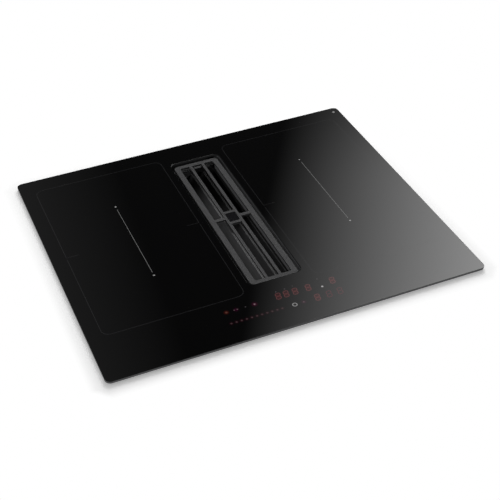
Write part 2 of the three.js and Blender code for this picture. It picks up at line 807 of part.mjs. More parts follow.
function heatSink(side) {
  const centreX = side * coilCentreX;
  const lowX = centreX - heatSinkWidth / 2;
  const lowY = powerBoardCentreY - heatSinkLength / 2;
  const highY = powerBoardCentreY + heatSinkLength / 2;
  const pitch = (heatSinkWidth - heatSinkFinThickness) / (heatSinkFinCount - 1);
  const pieces = [block(lowX, lowX + heatSinkWidth, lowY, highY, boardTopZ,
    boardTopZ + heatSinkBase)];
  for (let fin = 0; fin < heatSinkFinCount; fin += 1) {
    const finX = lowX + fin * pitch;
    pieces.push(block(finX, finX + heatSinkFinThickness, lowY, highY,
      boardTopZ + heatSinkBase - 0.5, boardTopZ + heatSinkHeight));
  }
  return join(pieces);
}

// Radial fan housing: inlet on top, outlet towards the heat sink, spindle in the middle
function fanHousing(side) {
  const centreX = side * coilCentreX;
  const half = fanHousingSize / 2;
  const topZ = panFloorZ + fanHousingHeight;
  const chamberZ = panFloorZ + fanHousingWall;
  const roofZ = topZ - fanHousingWall;
  const shell = cut(raise(roundRect(fanHousingSize, fanHousingSize, 8, centreX, fanCentreY),
    panFloorZ, topZ), [
    post(fanRotorRadius + fanRotorGap, centreX, fanCentreY, chamberZ, roofZ),
    post(fanInletRadius, centreX, fanCentreY, roofZ - 1, topZ + 1),
    block(centreX - fanOutletWidth / 2, centreX + fanOutletWidth / 2, fanCentreY,
      fanCentreY + half + 1, chamberZ, roofZ),
  ]);
  return shell.add(post(fanSpindleRadius, centreX, fanCentreY, chamberZ - 1,
    roofZ - fanRotorGap, 16));
}

// Radial fan wheel: hub on the spindle, blades standing on a disc
function fanRotor(side) {
  const centreX = side * coilCentreX;
  const discZ = panFloorZ + 2 * fanHousingWall;
  const topZ = panFloorZ + fanHousingHeight - 2 * fanHousingWall;
  const pieces = [
    post(fanRotorRadius, centreX, fanCentreY, discZ, discZ + fanHousingWall),
    post(fanHubRadius, centreX, fanCentreY, discZ, topZ, 20),
  ];
  for (let blade = 0; blade < fanBladeCount; blade += 1) {
    const geometry = new THREE.BoxGeometry(fanRotorRadius - fanHubRadius, fanBladeThickness,
      topZ - discZ - 1);
    geometry.translate((fanRotorRadius + fanHubRadius) / 2 - 0.6, 0, (topZ + discZ - 1) / 2);
    geometry.rotateZ(blade * 2 * Math.PI / fanBladeCount);
    geometry.translate(centreX, fanCentreY, 0);
    pieces.push(solidOf(geometry));
  }
  return join(pieces).subtract(post(fanSpindleRadius + shaftRunningGap, centreX, fanCentreY,
    discZ - 1, topZ + 1, 16));
}

for (const [sideName, side] of [['left', -1], ['right', 1]]) {
  addPiece(`power_board_${sideName}`, 'board', powerBoard(side));
  addPiece(`heat_sink_${sideName}`, 'aluminium', heatSink(side));
  addPiece(`cooling_fan_housing_${sideName}`, 'blackPlastic', fanHousing(side));
  addPiece(`cooling_fan_rotor_${sideName}`, 'greyPlastic', fanRotor(side));
}

// ---------------------------------------------------------------- mains connection

const panInnerRearY = panDepth / 2 - panSheet;
const glandNutFrontY = panInnerRearY - touchGap - glandNutLength;
const terminalRearY = glandNutFrontY - touchGap - terminalCoverWall - terminalCoverGap;

function terminalBlock() {
  const lowX = terminalX - terminalBlockWidth / 2;
  const lowY = terminalRearY - terminalBlockDepth;
  const topZ = panFloorZ + terminalBlockHeight;
  const wells = [];
  const wayCount = 5;
  for (let way = 0; way < wayCount; way += 1) {
    const wayX = lowX + terminalBlockWidth * (way + 0.5) / wayCount;
    wells.push(post(3, wayX, terminalRearY - terminalBlockDepth / 2, topZ - 5, topZ + 1, 12));
  }
  return cut(block(lowX, lowX + terminalBlockWidth, lowY, terminalRearY, panFloorZ, topZ), wells);
}

// Cover over the terminals, open below and notched at the rear for the cable
function terminalCover() {
  const halfX = terminalBlockWidth / 2 + terminalCoverGap;
  const lowY = terminalRearY - terminalBlockDepth - terminalCoverGap;
  const highY = terminalRearY + terminalCoverGap;
  const topZ = panFloorZ + terminalBlockHeight + terminalCoverGap + terminalCoverWall;
  const wall = terminalCoverWall;
  const cover = block(terminalX - halfX - wall, terminalX + halfX + wall, lowY - wall,
    highY + wall, panFloorZ, topZ);
  return cut(cover, [
    block(terminalX - halfX, terminalX + halfX, lowY, highY, panFloorZ - 1, topZ - wall),
    block(terminalX - glandThreadRadius, terminalX + glandThreadRadius, highY - 1,
      highY + wall + 1, panFloorZ - 1, panFloorZ + glandHeight + glandBoreRadius + holeGap),
  ]);
}

function mainsFilterBoard() {
  const centreY = terminalRearY + terminalCoverGap - filterBoardDepth / 2;
  const pieces = standingBoard(filterBoardWidth, filterBoardDepth, filterBoardX, centreY);
  pieces.push(block(filterBoardX - 38, filterBoardX - 8, centreY - 14, centreY + 14,
    boardTopZ - 0.5, boardTopZ + inductorHeight));
  pieces.push(post(capacitorRadius, filterBoardX + 24, centreY, boardTopZ - 0.5,
    boardTopZ + capacitorHeight, 16));
  return join(pieces);
}

// Screwed gland in the rear wall: thread through the wall, nut inside, cap outside
function cableGland() {
  const outerY = panDepth / 2;
  const centreZ = panFloorZ + glandHeight;
  const body = join([
    barAlongY(glandThreadRadius, terminalX, centreZ, glandNutFrontY, outerY + glandLength),
    barAlongY(glandRadius, terminalX, centreZ, glandNutFrontY, panInnerRearY - touchGap, 6),
    barAlongY(glandRadius, terminalX, centreZ, outerY + touchGap, outerY + glandLength, 6),
  ]);
  return body.subtract(barAlongY(glandBoreRadius, terminalX, centreZ, glandNutFrontY - 1,
    outerY + glandLength + 1));
}

addPiece('terminal_block', 'whitePlastic', terminalBlock());
addPiece('terminal_cover', 'blackPlastic', terminalCover());
addPiece('mains_filter_board', 'board', mainsFilterBoard());
addPiece('cable_gland', 'blackPlastic', cableGland());

// ---------------------------------------------------------------- touch controls

const controlLowX = controlCentreX - controlWidth / 2;
const controlHighX = controlCentreX + controlWidth / 2;
const controlLowY = controlCentreY - controlDepth / 2;
const controlHighY = controlCentreY + controlDepth / 2;
const touchBoardTopZ = glassUnderZ - touchBoardDrop;
const touchBoardBottomZ = touchBoardTopZ - boardThickness;
const controlTrayTopZ = glassUnderZ - lightGuideThickness - touchGap;
const controlTrayBottomZ = controlTrayTopZ - controlTrayHeight;

// Shallow tray on four legs, with a ledge that carries the touch board
function controlCarrier() {
  const wall = controlWall;
  const tray = cut(block(controlLowX, controlHighX, controlLowY, controlHighY,
    controlTrayBottomZ, controlTrayTopZ), [
    block(controlLowX + wall, controlHighX - wall, controlLowY + wall, controlHighY - wall,
      touchBoardBottomZ, controlTrayTopZ + 1),
    block(controlLowX + 2 * wall, controlHighX - 2 * wall, controlLowY + 2 * wall,
      controlHighY - 2 * wall, controlTrayBottomZ + wall, controlTrayTopZ),
  ]);
  const legs = [];
  for (const legX of [controlLowX, controlHighX - controlLegWidth]) {
    for (const legY of [controlLowY, controlHighY - wall]) {
      legs.push(block(legX, legX + controlLegWidth, legY, legY + wall, panFloorZ,
        controlTrayBottomZ + 1));
    }
  }
  return join([tray, ...legs]);
}

function touchBoard() {
  const inset = controlWall + touchGap;
  return block(controlLowX + inset, controlHighX - inset, controlLowY + inset,
    controlHighY - inset, touchBoardBottomZ, touchBoardTopZ);
}

// Row of digit modules behind the upper line of symbols
function displayModule() {
  const inset = 4 * controlWall;
  return block(controlCentreX - 10, controlHighX - inset, controlCentreY, controlHighY - inset,
    touchBoardTopZ, glassUnderZ - lightGuideThickness);
}

// Clear sheet that spreads the light of the symbols, against the glass
function lightGuide() {
  return block(controlLowX, controlHighX, controlLowY, controlHighY,
    glassUnderZ - lightGuideThickness, glassUnderZ);
}

addPiece('control_carrier', 'blackPlastic', controlCarrier());
addPiece('touch_board', 'board', touchBoard());
addPiece('display_module', 'whitePlastic', displayModule());
addPiece('light_guide', 'clearPlastic', lightGuide());

// ---------------------------------------------------------------- air box

const airBoxWidth = airBoxRightX - airBoxLeftX;
const airBoxDepth = airBoxRearY - airBoxFrontY;
const airBoxCentreX = (airBoxRightX + airBoxLeftX) / 2;
const airBoxCentreY = (airBoxRearY + airBoxFrontY) / 2;

function airBoxOutline(grow) {
  return roundRect(airBoxWidth + 2 * grow, airBoxDepth + 2 * grow, airBoxCornerRadius + grow,
    airBoxCentreX, airBoxCentreY);
}

function airBoxUpper() {
  const throatHole = roundRect(throatOuterWidth + 2 * holeGap, throatOuterLength + 2 * holeGap,
    throatCornerRadius + frameWall, 0, throatCentreY);
  const shell = join([
    raise(airBoxOutline(0), airBoxSplitZ, airBoxTopZ),
    raise(airBoxOutline(airBoxFlange), airBoxSplitZ, airBoxSplitZ + airBoxWall),
  ]);
  return cut(shell, [
    raise(airBoxOutline(-airBoxWall), airBoxSplitZ - 1, airBoxTopZ - airBoxWall),
    raise(throatHole, airBoxTopZ - airBoxWall - 1, airBoxTopZ + 1),
  ]);
}

function airBoxLower() {
  const shell = join([
    raise(airBoxOutline(0), 0, airBoxSplitZ),
    raise(airBoxOutline(airBoxFlange), airBoxSplitZ - airBoxWall, airBoxSplitZ),
  ]);
  return cut(shell, [
    raise(airBoxOutline(-airBoxWall), airBoxFloorZ, airBoxSplitZ + 1),
    block(outletLeftX - holeGap, outletRightX + holeGap, airBoxInnerRearY - 1,
      airBoxRearY + airBoxFlange + 1, outletBottomZ - holeGap, outletTopZ + holeGap),
  ]);
}

addPiece('air_box_upper', 'blackPlastic', airBoxUpper());
addPiece('air_box_lower', 'blackPlastic', airBoxLower());

// Rectangular spigot that a flat duct slides over, with a collar outside the wall
function outletSpigot() {
  const frontY = airBoxInnerRearY;
  const endY = airBoxRearY + outletLength;
  const flange = outletFlange;
  const body = join([
    block(outletLeftX, outletRightX, frontY, endY, outletBottomZ, outletTopZ),
    block(outletLeftX - flange, outletRightX + flange, airBoxRearY + touchGap,
      airBoxRearY + touchGap + outletWall, outletBottomZ - flange, outletTopZ + flange),
  ]);
  return body.subtract(block(outletLeftX + outletWall, outletRightX - outletWall,
    frontY - 1, endY + 1, outletBottomZ + outletWall, outletTopZ - outletWall));
}

addPiece('outlet_spigot', 'blackPlastic', outletSpigot());

// ---------------------------------------------------------------- blower

// Scroll outline: the radius grows evenly from the tongue round to the outlet side, which
// runs straight back to the spigot. The inner outline is the same, one wall smaller.
function scrollOutline(wall, rearY) {
  const points = [];
  const steps = 22;
  for (let step = 0; step <= steps; step += 1) {
    const share = step / steps;
    const angle = THREE.MathUtils.degToRad(
      THREE.MathUtils.lerp(scrollTongueAngle, 360, share));
    const radius = impellerRadius + scrollTongueGap + scrollGrowth * share - wall;
    points.push([blowerCentreX + radius * Math.cos(angle),
      blowerCentreY + radius * Math.sin(angle)]);
  }
  points.push([outletRightX - wall, rearY]);
  points.push([outletLeftX + wall, rearY]);
  return outlineFrom(points);
}

function blowerScroll() {
  const rearY = airBoxInnerRearY - touchGap;
  const lip = inletRadius + scrollWall;
  const shell = join([
    raise(scrollOutline(0, rearY), airBoxFloorZ, scrollTopZ),
    post(lip, blowerCentreX, blowerCentreY, scrollTopZ - 1, scrollTopZ + inletLip),
  ]);
  return cut(shell, [
    raise(scrollOutline(scrollWall, rearY + 1), airBoxFloorZ - 1, scrollRoofZ),
    post(inletRadius, blowerCentreX, blowerCentreY, scrollRoofZ - 1, scrollTopZ + inletLip + 1),
  ]);
}

const motorTopZ = airBoxFloorZ + motorHeight;
const motorBossTopZ = motorTopZ + motorBossHeight;
const hubBottomZ = motorBossTopZ + impellerPlate;

function blowerMotor() {
  const body = join([
    post(motorFlangeRadius, blowerCentreX, blowerCentreY, airBoxFloorZ,
      airBoxFloorZ + motorFlangeThickness),
    post(motorRadius, blowerCentreX, blowerCentreY, airBoxFloorZ, motorTopZ),
    post(motorBossRadius, blowerCentreX, blowerCentreY, airBoxFloorZ, motorBossTopZ),
  ]);
  return body.subtract(post(shaftRadius + shaftRunningGap, blowerCentreX, blowerCentreY,
    motorBossTopZ - shaftDepth, motorBossTopZ + 1));
}

function motorShaft() {
  return post(shaftRadius, blowerCentreX, blowerCentreY,
    motorBossTopZ - shaftDepth + touchGap, hubBottomZ + hubBossHeight);
}

// Forward-curved wheel: a cup over the motor, a floor ring, blades and a top ring
function blowerImpeller() {
  const floorZ = airBoxFloorZ + impellerFloorGap;
  const bladeTopZ = scrollRoofZ - impellerTopGap;
  const cupInner = motorRadius + hubCupGap;
  const cupOuter = cupInner + impellerPlate;
  const at = (radius, lowZ, highZ, sides) =>
    post(radius, blowerCentreX, blowerCentreY, lowZ, highZ, sides);
  const disc = at(impellerRadius, floorZ, floorZ + impellerPlate, impellerBladeCount);
  const cup = at(cupOuter, floorZ, hubBottomZ + impellerPlate);
  const boss = at(hubBossRadius, hubBottomZ, hubBottomZ + hubBossHeight);
  const topRing = at(impellerRadius, bladeTopZ - impellerPlate, bladeTopZ, impellerBladeCount).subtract(
    at(impellerRadius - 4, bladeTopZ - impellerPlate - 1, bladeTopZ + 1, impellerBladeCount));
  const wheel = cut(join([disc, cup, boss]), [
    at(cupInner, floorZ - 1, hubBottomZ),
    at(shaftRadius + shaftRunningGap, hubBottomZ - 1, hubBottomZ + hubBossHeight + 1),
  ]);
  const blades = [];
  const sweep = THREE.MathUtils.degToRad(impellerBladeSweep);
  const length = (impellerRadius - impellerInnerRadius) / Math.cos(sweep);
  for (let blade = 0; blade < impellerBladeCount; blade += 1) {
    const geometry = new THREE.BoxGeometry(length, impellerBladeThickness,
      bladeTopZ - floorZ - 1);
    geometry.rotateZ(sweep);
    geometry.translate((impellerRadius + impellerInnerRadius) / 2 - 1.5, 0,
      (bladeTopZ + floorZ) / 2);
    geometry.rotateZ(blade * 2 * Math.PI / impellerBladeCount);
    geometry.translate(blowerCentreX, blowerCentreY, 0);
    blades.push(solidOf(geometry));
  }
  return join([wheel, topRing, ...blades]);
}

addPiece('blower_scroll', 'greyPlastic', blowerScroll());
addPiece('blower_motor', 'galvanised', blowerMotor());
addPiece('motor_shaft', 'steel', motorShaft());
addPiece('blower_impeller', 'greyPlastic', blowerImpeller());

// ---------------------------------------------------------------- worktop clamps

const clampCentreY = panDepth / 2 - clampEndInset;
const clampArmZ = panBottomZ + clampArmRise;
const clampPadTopZ = worktopZ - worktopThickness;
const clampScrewX = panWidth / 2 + clampArmReach - clampScrewInset + clampSheet;

function clampBracket(side, end) {
  const wallX = panWidth / 2;
  const centreY = end * clampCentreY;
  const span = (near, far) => [Math.min(side * near, side * far), Math.max(side * near, side * far)];
  const [plateLowX, plateHighX] = span(wallX, wallX + clampSheet);
  const [armLowX, armHighX] = span(wallX, wallX + clampSheet + clampArmReach);
  const plate = block(plateLowX, plateHighX, centreY - clampPlateWidth / 2,
    centreY + clampPlateWidth / 2, clampArmZ, clampArmZ + clampPlateHeight);
  const arm = block(armLowX, armHighX, centreY - clampArmWidth / 2,
    centreY + clampArmWidth / 2, clampArmZ, clampArmZ + clampSheet);
  const hole = post(clampScrewRadius + touchGap, side * clampScrewX, centreY,
    clampArmZ - 1, clampArmZ + clampSheet + 1, 14);
  return plate.add(arm).subtract(hole);
}

// Long screw through the arm with a pressure pad on top and a grip below
function clampScrew(side, end) {
  const x = side * clampScrewX;
  const y = end * clampCentreY;
  const headBottomZ = clampArmZ - clampScrewTail - clampHeadHeight;
  return join([
    post(clampHeadRadius, x, y, headBottomZ, headBottomZ + clampHeadHeight, 6),
    post(clampScrewRadius, x, y, headBottomZ, clampPadTopZ - 1, 14),
    post(clampPadRadius, x, y, clampPadTopZ - clampPadHeight, clampPadTopZ, 16),
  ]);
}

for (const [sideName, side] of [['left', -1], ['right', 1]]) {
  for (const [endName, end] of [['front', -1], ['rear', 1]]) {
    const place = `${endName}_${sideName}`;
    addPiece(`clamp_bracket_${place}`, 'galvanised', clampBracket(side, end));
    addPiece(`clamp_screw_${place}`, 'steel', clampScrew(side, end));
  }
}

export default cooktop;
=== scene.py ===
"""Downdraft induction cooktop, dressed for a studio picture.

Metres. +X is the cook's right, +Y the rear and +Z up. The glass top lies at z = 0.21.
"""
from math import radians

import bmesh
import bpy
import numpy as np
from mathutils import Matrix, Vector


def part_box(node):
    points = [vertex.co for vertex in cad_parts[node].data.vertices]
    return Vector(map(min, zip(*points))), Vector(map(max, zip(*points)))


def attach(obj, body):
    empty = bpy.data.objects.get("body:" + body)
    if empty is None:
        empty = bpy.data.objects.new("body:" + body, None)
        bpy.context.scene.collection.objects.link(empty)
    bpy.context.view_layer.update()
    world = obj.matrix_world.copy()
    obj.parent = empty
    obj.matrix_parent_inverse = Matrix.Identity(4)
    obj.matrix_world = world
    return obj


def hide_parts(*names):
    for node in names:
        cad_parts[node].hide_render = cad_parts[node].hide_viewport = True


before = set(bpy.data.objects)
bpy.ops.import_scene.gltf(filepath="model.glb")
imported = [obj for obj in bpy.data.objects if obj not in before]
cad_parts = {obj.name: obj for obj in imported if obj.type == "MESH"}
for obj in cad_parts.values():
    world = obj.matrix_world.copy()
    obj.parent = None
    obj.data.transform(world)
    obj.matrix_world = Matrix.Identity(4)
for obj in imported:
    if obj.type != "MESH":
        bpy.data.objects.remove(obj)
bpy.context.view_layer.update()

scene = bpy.context.scene
scene.view_settings.view_transform = "Standard"

# ---------------------------------------------------------------- camera
# A longish lens from the front left, a good head above the worktop, looking down
# at the glass. The rows are its right, its up and its backward direction.
camera_axes = Matrix((
    (0.92001, -0.39140, -0.01941),
    (0.25773, 0.56701, 0.78235),
    (-0.29521, -0.72478, 0.62254),
)).transposed()
camera_data = bpy.data.cameras.new("photo_camera")
camera_data.sensor_width = 36
camera_data.lens = 79.59
camera = bpy.data.objects.new("photo_camera", camera_data)
camera.matrix_world = (
    Matrix.Translation((-0.51567, -1.31168, 1.27712)) @ camera_axes.to_4x4())
scene.collection.objects.link(camera)
scene.camera = camera

# ---------------------------------------------------------------- worktop floor
# A white margin of the worktop round the glass, with the cut-out for the casing. It
# takes the soft shadow of the glass and runs out into the white background.
MM = 0.001
GLASS_WIDTH, GLASS_LENGTH = 0.600, 0.510
CUTOUT_WIDTH, CUTOUT_LENGTH = 0.562, 0.482
WORKTOP_LEVEL = 0.2030
floor_margin = 0.027
fade_start, fade_end = 0.010, 0.026
sheet_diffuse, sheet_glow = 0.95, 0.26


def rounded_outline(width, length, radius, centre=(0.0, 0.0), arc=10, side=6):
    """Rounded rectangle, counterclockwise. A corner is its centre plus
    radius * (cos a, sin a) over a quarter turn, and a side is split evenly."""
    half = np.array([width, length]) / 2 - radius
    turn = np.radians(90 * np.arange(-1, 3)[:, None] + np.linspace(0, 90, arc + 1))
    middle = np.array([[1, -1], [1, 1], [-1, 1], [-1, -1]]) * half
    bend = middle[:, None] + radius * np.stack([np.cos(turn), np.sin(turn)], -1)
    share = (np.arange(1, side) / side)[None, :, None]
    start, stop = bend[:, -1:], np.roll(bend[:, :1], -1, 0)
    run = np.concatenate([bend, start + (stop - start) * share], 1)
    return run.reshape(-1, 2) + np.asarray(centre)


def at_height(outline, height):
    """Outline points with a third coordinate, all at one height."""
    return np.column_stack([outline, np.full(len(outline), height)])


def surface(name, grids, loop_rows=False, outwards=True):
    """Quads over grids of points: (i, j) meets (i + 1, j) and (i, j + 1). Columns run
    round into themselves, and so do rows with loop_rows. A row of equal points is a
    pole. Equal points are merged, and faces are turned outwards unless told not to."""
    points, faces, base = [], [], 0
    for grid in grids:
        grid = np.asarray(grid, float)
        rows, columns = grid.shape[:2]
        i = np.arange(rows if loop_rows else rows - 1)[:, None]
        j = np.arange(columns)[None, :]
        near, far = i * columns, (i + 1) % rows * columns
        after = (j + 1) % columns
        quads = np.stack([near + j, near + after, far + after, far + j], -1)
        points.append(grid.reshape(-1, 3))
        faces.append(quads.reshape(-1, 4) + base)
        base += rows * columns
    mesh = bpy.data.meshes.new(name)
    mesh.from_pydata(np.concatenate(points).tolist(), [], np.concatenate(faces).tolist())
    work = bmesh.new()
    work.from_mesh(mesh)
    bmesh.ops.remove_doubles(work, verts=work.verts, dist=5e-7)
    bmesh.ops.dissolve_degenerate(work, edges=work.edges, dist=5e-7)
    if outwards:
        bmesh.ops.recalc_face_normals(work, faces=work.faces)
    work.to_mesh(mesh)
    work.free()
    mesh.shade_smooth()
    mesh.set_sharp_from_angle(angle=radians(40))
    made = bpy.data.objects.new(name, mesh)
    scene.collection.objects.link(made)
    return made


def wire(tree, kind, *values, **settings):
    """New node: its settings, then its sockets in order, each a value or a link."""
    node = tree.nodes.new(kind)
    for key, value in settings.items():
        setattr(node, key, value)
    for socket, value in zip(node.inputs, values):
        if isinstance(value, bpy.types.NodeSocket):
            tree.links.new(value, socket)
        elif value is not None:
            socket.default_value = value
    return node


def reckon(tree, operation, *values):
    """Result of a Math node."""
    return wire(tree, "ShaderNodeMath", *values, operation=operation).outputs[0]


def ramp(tree, value, low, high, out_low=0.0, out_high=1.0, smooth=True):
    """Value taken from low..high to out_low..out_high and held there beyond."""
    kind = "SMOOTHSTEP" if smooth else "LINEAR"
    node = wire(tree, "ShaderNodeMapRange", value, low, high, out_low, out_high,
                interpolation_type=kind, clamp=True)
    return node.outputs[0]


def empty_material(name):
    """Material with only an output node."""
    made = bpy.data.materials.new(name)
    made.use_nodes = True
    made.node_tree.nodes.clear()
    return made, made.node_tree, made.node_tree.nodes.new("ShaderNodeOutputMaterial")


def place_on(tree):
    """Object coordinates."""
    return tree.nodes.new("ShaderNodeTexCoord").outputs["Object"]


sheet_rows = [
    at_height(rounded_outline(width, length, corner), WORKTOP_LEVEL)
    for width, length, corner in (
        (CUTOUT_WIDTH, CUTOUT_LENGTH, 0.006),
        (GLASS_WIDTH + 4 * MM, GLASS_LENGTH + 4 * MM, 0.009),
        (GLASS_WIDTH + 2 * floor_margin, GLASS_LENGTH + 2 * floor_margin, 0.020))]
worktop_floor = surface("worktop_floor", [sheet_rows], outwards=False)
worktop_floor.data.flip_normals()
floor_paint, tree, out = empty_material("worktop_floor_white")
place = wire(tree, "ShaderNodeSeparateXYZ", place_on(tree))
past_sides = [
    reckon(tree, "MAXIMUM", reckon(tree, "SUBTRACT", reckon(tree, "ABSOLUTE", spot), half), 0.0)
    for spot, half in zip(place.outputs, (GLASS_WIDTH / 2, GLASS_LENGTH / 2))]
plainness = ramp(tree, reckon(tree, "ADD", *past_sides), fade_start, fade_end)
shaded = wire(tree, "ShaderNodeAddShader",
              wire(tree, "ShaderNodeBsdfDiffuse", (sheet_diffuse,) * 3 + (1,)).outputs[0],
              wire(tree, "ShaderNodeEmission", (1, 1, 1, 1), sheet_glow).outputs[0])
plain = wire(tree, "ShaderNodeEmission", (1, 1, 1, 1), 1.0)
face = wire(tree, "ShaderNodeMixShader", plainness, shaded.outputs[0], plain.outputs[0])
one_sided = wire(tree, "ShaderNodeMixShader",
                 tree.nodes.new("ShaderNodeNewGeometry").outputs["Backfacing"],
                 face.outputs[0], wire(tree, "ShaderNodeBsdfTransparent").outputs[0])
tree.links.new(one_sided.outputs[0], out.inputs[0])
worktop_floor.data.materials.append(floor_paint)
worktop_floor.visible_shadow = False
worktop_floor.visible_diffuse = False

# ---------------------------------------------------------------- lens card
# A white card close to the lens, in two leaves. It masks the casing's foot in the main
# picture only, so that other views show it. A leaf is a field of the worktop, given by
# its width, length and middle, and shrunk towards the lens.
card_nearness = 0.12
card_fields = ((0.72, 0.25, (0.0, -0.406)), (0.10, 0.60, (-0.376, -0.10)))
lens_place = np.array(camera.matrix_world.translation)
card_grids = []
for width, length, middle in card_fields:
    card_edge = rounded_outline(width, length, 0.01, middle)
    card_grids.append([lens_place + card_nearness * (at_height(row, level) - lens_place)
                       for row, level in ((np.full_like(card_edge, middle), WORKTOP_LEVEL),
                                          (card_edge, WORKTOP_LEVEL))])
lens_card = surface("lens_card", card_grids, outwards=False)
card_paint, tree, out = empty_material("lens_card_white")
tree.links.new(wire(tree, "ShaderNodeEmission", (1, 1, 1, 1), 1.0).outputs[0], out.inputs[0])
lens_card.data.materials.append(card_paint)
for ray in ("diffuse", "glossy", "transmission", "volume_scatter", "shadow"):
    setattr(lens_card, f"visible_{ray}", False)

# ---------------------------------------------------------------- studio hood and lamps
# A dark hood stands over the set, so that the black glass stays black. A soft panel at
# the rear right glows in it and is mirrored in the right half of the glass. Its angles
# are in degrees: azimuth from the rear to the right, and rise.
hood_radius = 40.0
hood_dark, hood_grey = 0.031, 0.20
panel_lean, panel_edge, panel_full = 0.271, 33.1, 58.1
panel_power, panel_strength = 1.369, 5.9
left_lean, left_shift, left_grey, left_dark = -0.35, 13.65, 7, 15.5

# Half a sphere: radius * (cos rise * cos turn, cos rise * sin turn, sin rise).
hood_turns = np.radians(np.linspace(0, 360, 48, endpoint=False))
hood_rise = np.radians(np.linspace(0, 90, 13))[:, None]
hood_rows = hood_radius * np.stack([
    np.cos(hood_rise) * np.cos(hood_turns),
    np.cos(hood_rise) * np.sin(hood_turns),
    np.sin(hood_rise) * np.ones_like(hood_turns),
], -1)
hood = surface("studio_hood", [hood_rows])
hood_paint, tree, out = empty_material("studio_hood_panel")
spot = wire(tree, "ShaderNodeSeparateXYZ", place_on(tree))
azimuth = reckon(tree, "DEGREES", reckon(tree, "ARCTAN2", spot.outputs[0], spot.outputs[1]))
rise = reckon(tree, "DEGREES", reckon(
    tree, "ARCSINE", reckon(tree, "DIVIDE", spot.outputs[2], hood_radius)))
# The panel brightens from a slanted edge, and fades to the right, at its foot and at
# its top.
slanted = reckon(tree, "MULTIPLY_ADD", rise, panel_lean, azimuth)
panel = reckon(tree, "POWER", ramp(tree, slanted, panel_edge, panel_full, 0, 1.25, False),
               panel_power)
for value, low, high in ((azimuth, 85, 60), (rise, 25.6, 35.4), (rise, 75, 58)):
    panel = reckon(tree, "MULTIPLY", panel, ramp(tree, value, low, high))
# The rest is dark, and grey to the left and at the front.
turned = reckon(tree, "MULTIPLY_ADD", rise, left_lean, reckon(tree, "ADD", azimuth, left_shift))
left_glow = ramp(tree, turned, left_dark, left_grey, hood_dark, hood_grey, False)
front_glow = ramp(tree, azimuth, 90, 150, 0.0, hood_grey)
glow = reckon(tree, "MULTIPLY_ADD", panel, panel_strength, left_glow)
glow = reckon(tree, "ADD", glow, front_glow)
tree.links.new(wire(tree, "ShaderNodeEmission", (1, 1, 1, 1), glow).outputs[0], out.inputs[0])
hood.data.materials.append(hood_paint)
for ray in ("camera", "diffuse", "transmission", "volume_scatter", "shadow"):
    setattr(hood, f"visible_{ray}", False)


def soft_lamp(name, azimuth, rise, distance, size, white):
    """Square area lamp on a sphere round the middle of the glass, facing it. Its power
    makes white shine at the given level: level * pi squared * distance squared."""
    data = bpy.data.lights.new(name, "AREA")
    data.energy, data.size = white * (np.pi * distance) ** 2, size
    lamp = bpy.data.objects.new(name, data)
    turn, lift = radians(azimuth), radians(rise)
    away = Vector((np.cos(lift) * np.sin(turn), np.cos(lift) * np.cos(turn), np.sin(lift)))
    lamp.matrix_world = Matrix.Translation(away * distance + Vector((0, 0, 0.2))) @ (
        away.to_track_quat("Z", "Y").to_matrix().to_4x4())
    lamp.visible_glossy = False
    scene.collection.objects.link(lamp)
    return lamp


soft_lamp("key_lamp", 28, 40, 3.0, 2.2, 0.70)
fill_lamp = soft_lamp("fill_lamp", -140, 50, 1.5, 0.9, 0.15)
# The floor takes no light from the fill lamp, which would wash the shadow out.
beside_fill = bpy.data.collections.new("beside_fill")
beside_fill.objects.link(worktop_floor)
fill_lamp.light_linking.receiver_collection = beside_fill
beside_fill.collection_objects[0].light_linking.link_state = "EXCLUDE"

# White air: full to the lens and in reflections, and weaker as a light.
world = bpy.data.worlds.new("studio_air")
scene.world = world
world.use_nodes = True
tree = world.node_tree
tree.nodes.clear()
rays = tree.nodes.new("ShaderNodeLightPath")
seen = reckon(tree, "MAXIMUM", rays.outputs["Is Camera Ray"], rays.outputs["Is Glossy Ray"])
seen = reckon(tree, "MAXIMUM", seen, rays.outputs["Is Transmission Ray"])
air = wire(tree, "ShaderNodeBackground", (1, 1, 1, 1), ramp(tree, seen, 0, 1, 0.34, 1.0, False))
tree.links.new(air.outputs[0], tree.nodes.new("ShaderNodeOutputWorld").inputs[0])

# ---------------------------------------------------------------- glass plate
# One sheet of black ceramic glass, 600 by 510 mm and 4 mm thick. Its top is polished, its
# rim and the vent cut through it are ground satin, with a rounded upper edge.
# The top lies 0.06 mm under 0.21, which leaves room for the prints on it.
GLASS_TOP = 0.20994
GLASS_UNDER = 0.206
GLASS_CORNER = 0.009
VENT_WIDTH, VENT_LENGTH, VENT_CORNER = 0.088, 0.351, 0.010
vent_centre = (0.0, 0.028)
rim_round, vent_round = 0.35 * MM, 0.7 * MM
glass_black = (0.0008, 0.0008, 0.0009)
quarter_turn = np.radians(np.linspace(0, 90, 7))


def gloss(name, colour, roughness, metallic=0.0, reflect=0.5):
    """Material with a plain shader. Its section wires the detail in."""
    made, tree, out = empty_material(name)
    shader = tree.nodes.new("ShaderNodeBsdfPrincipled")
    shader.inputs["Base Color"].default_value = (*colour, 1)
    shader.inputs["Roughness"].default_value = roughness
    shader.inputs["Metallic"].default_value = metallic
    shader.inputs["IOR"].default_value = 1.5
    shader.inputs["Specular IOR Level"].default_value = reflect
    tree.links.new(shader.outputs[0], out.inputs[0])
    return made, tree, shader


def two_tone(tree, shader, share, dark, light):
    """Base colour between dark and light by share."""
    tint = wire(tree, "ShaderNodeMix", share, data_type="RGBA")
    tint.inputs[6].default_value = (*dark, 1)
    tint.inputs[7].default_value = (*light, 1)
    tree.links.new(tint.outputs[2], shader.inputs["Base Color"])


def pieced(finish, body, slot, piece, *nodes):
    """Piece gets its finish, rides on its body and stands for its CAD nodes."""
    piece.data.materials.clear()
    piece.data.materials.append(finish)
    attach(piece, body)
    if nodes:
        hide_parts(*nodes)
    return piece


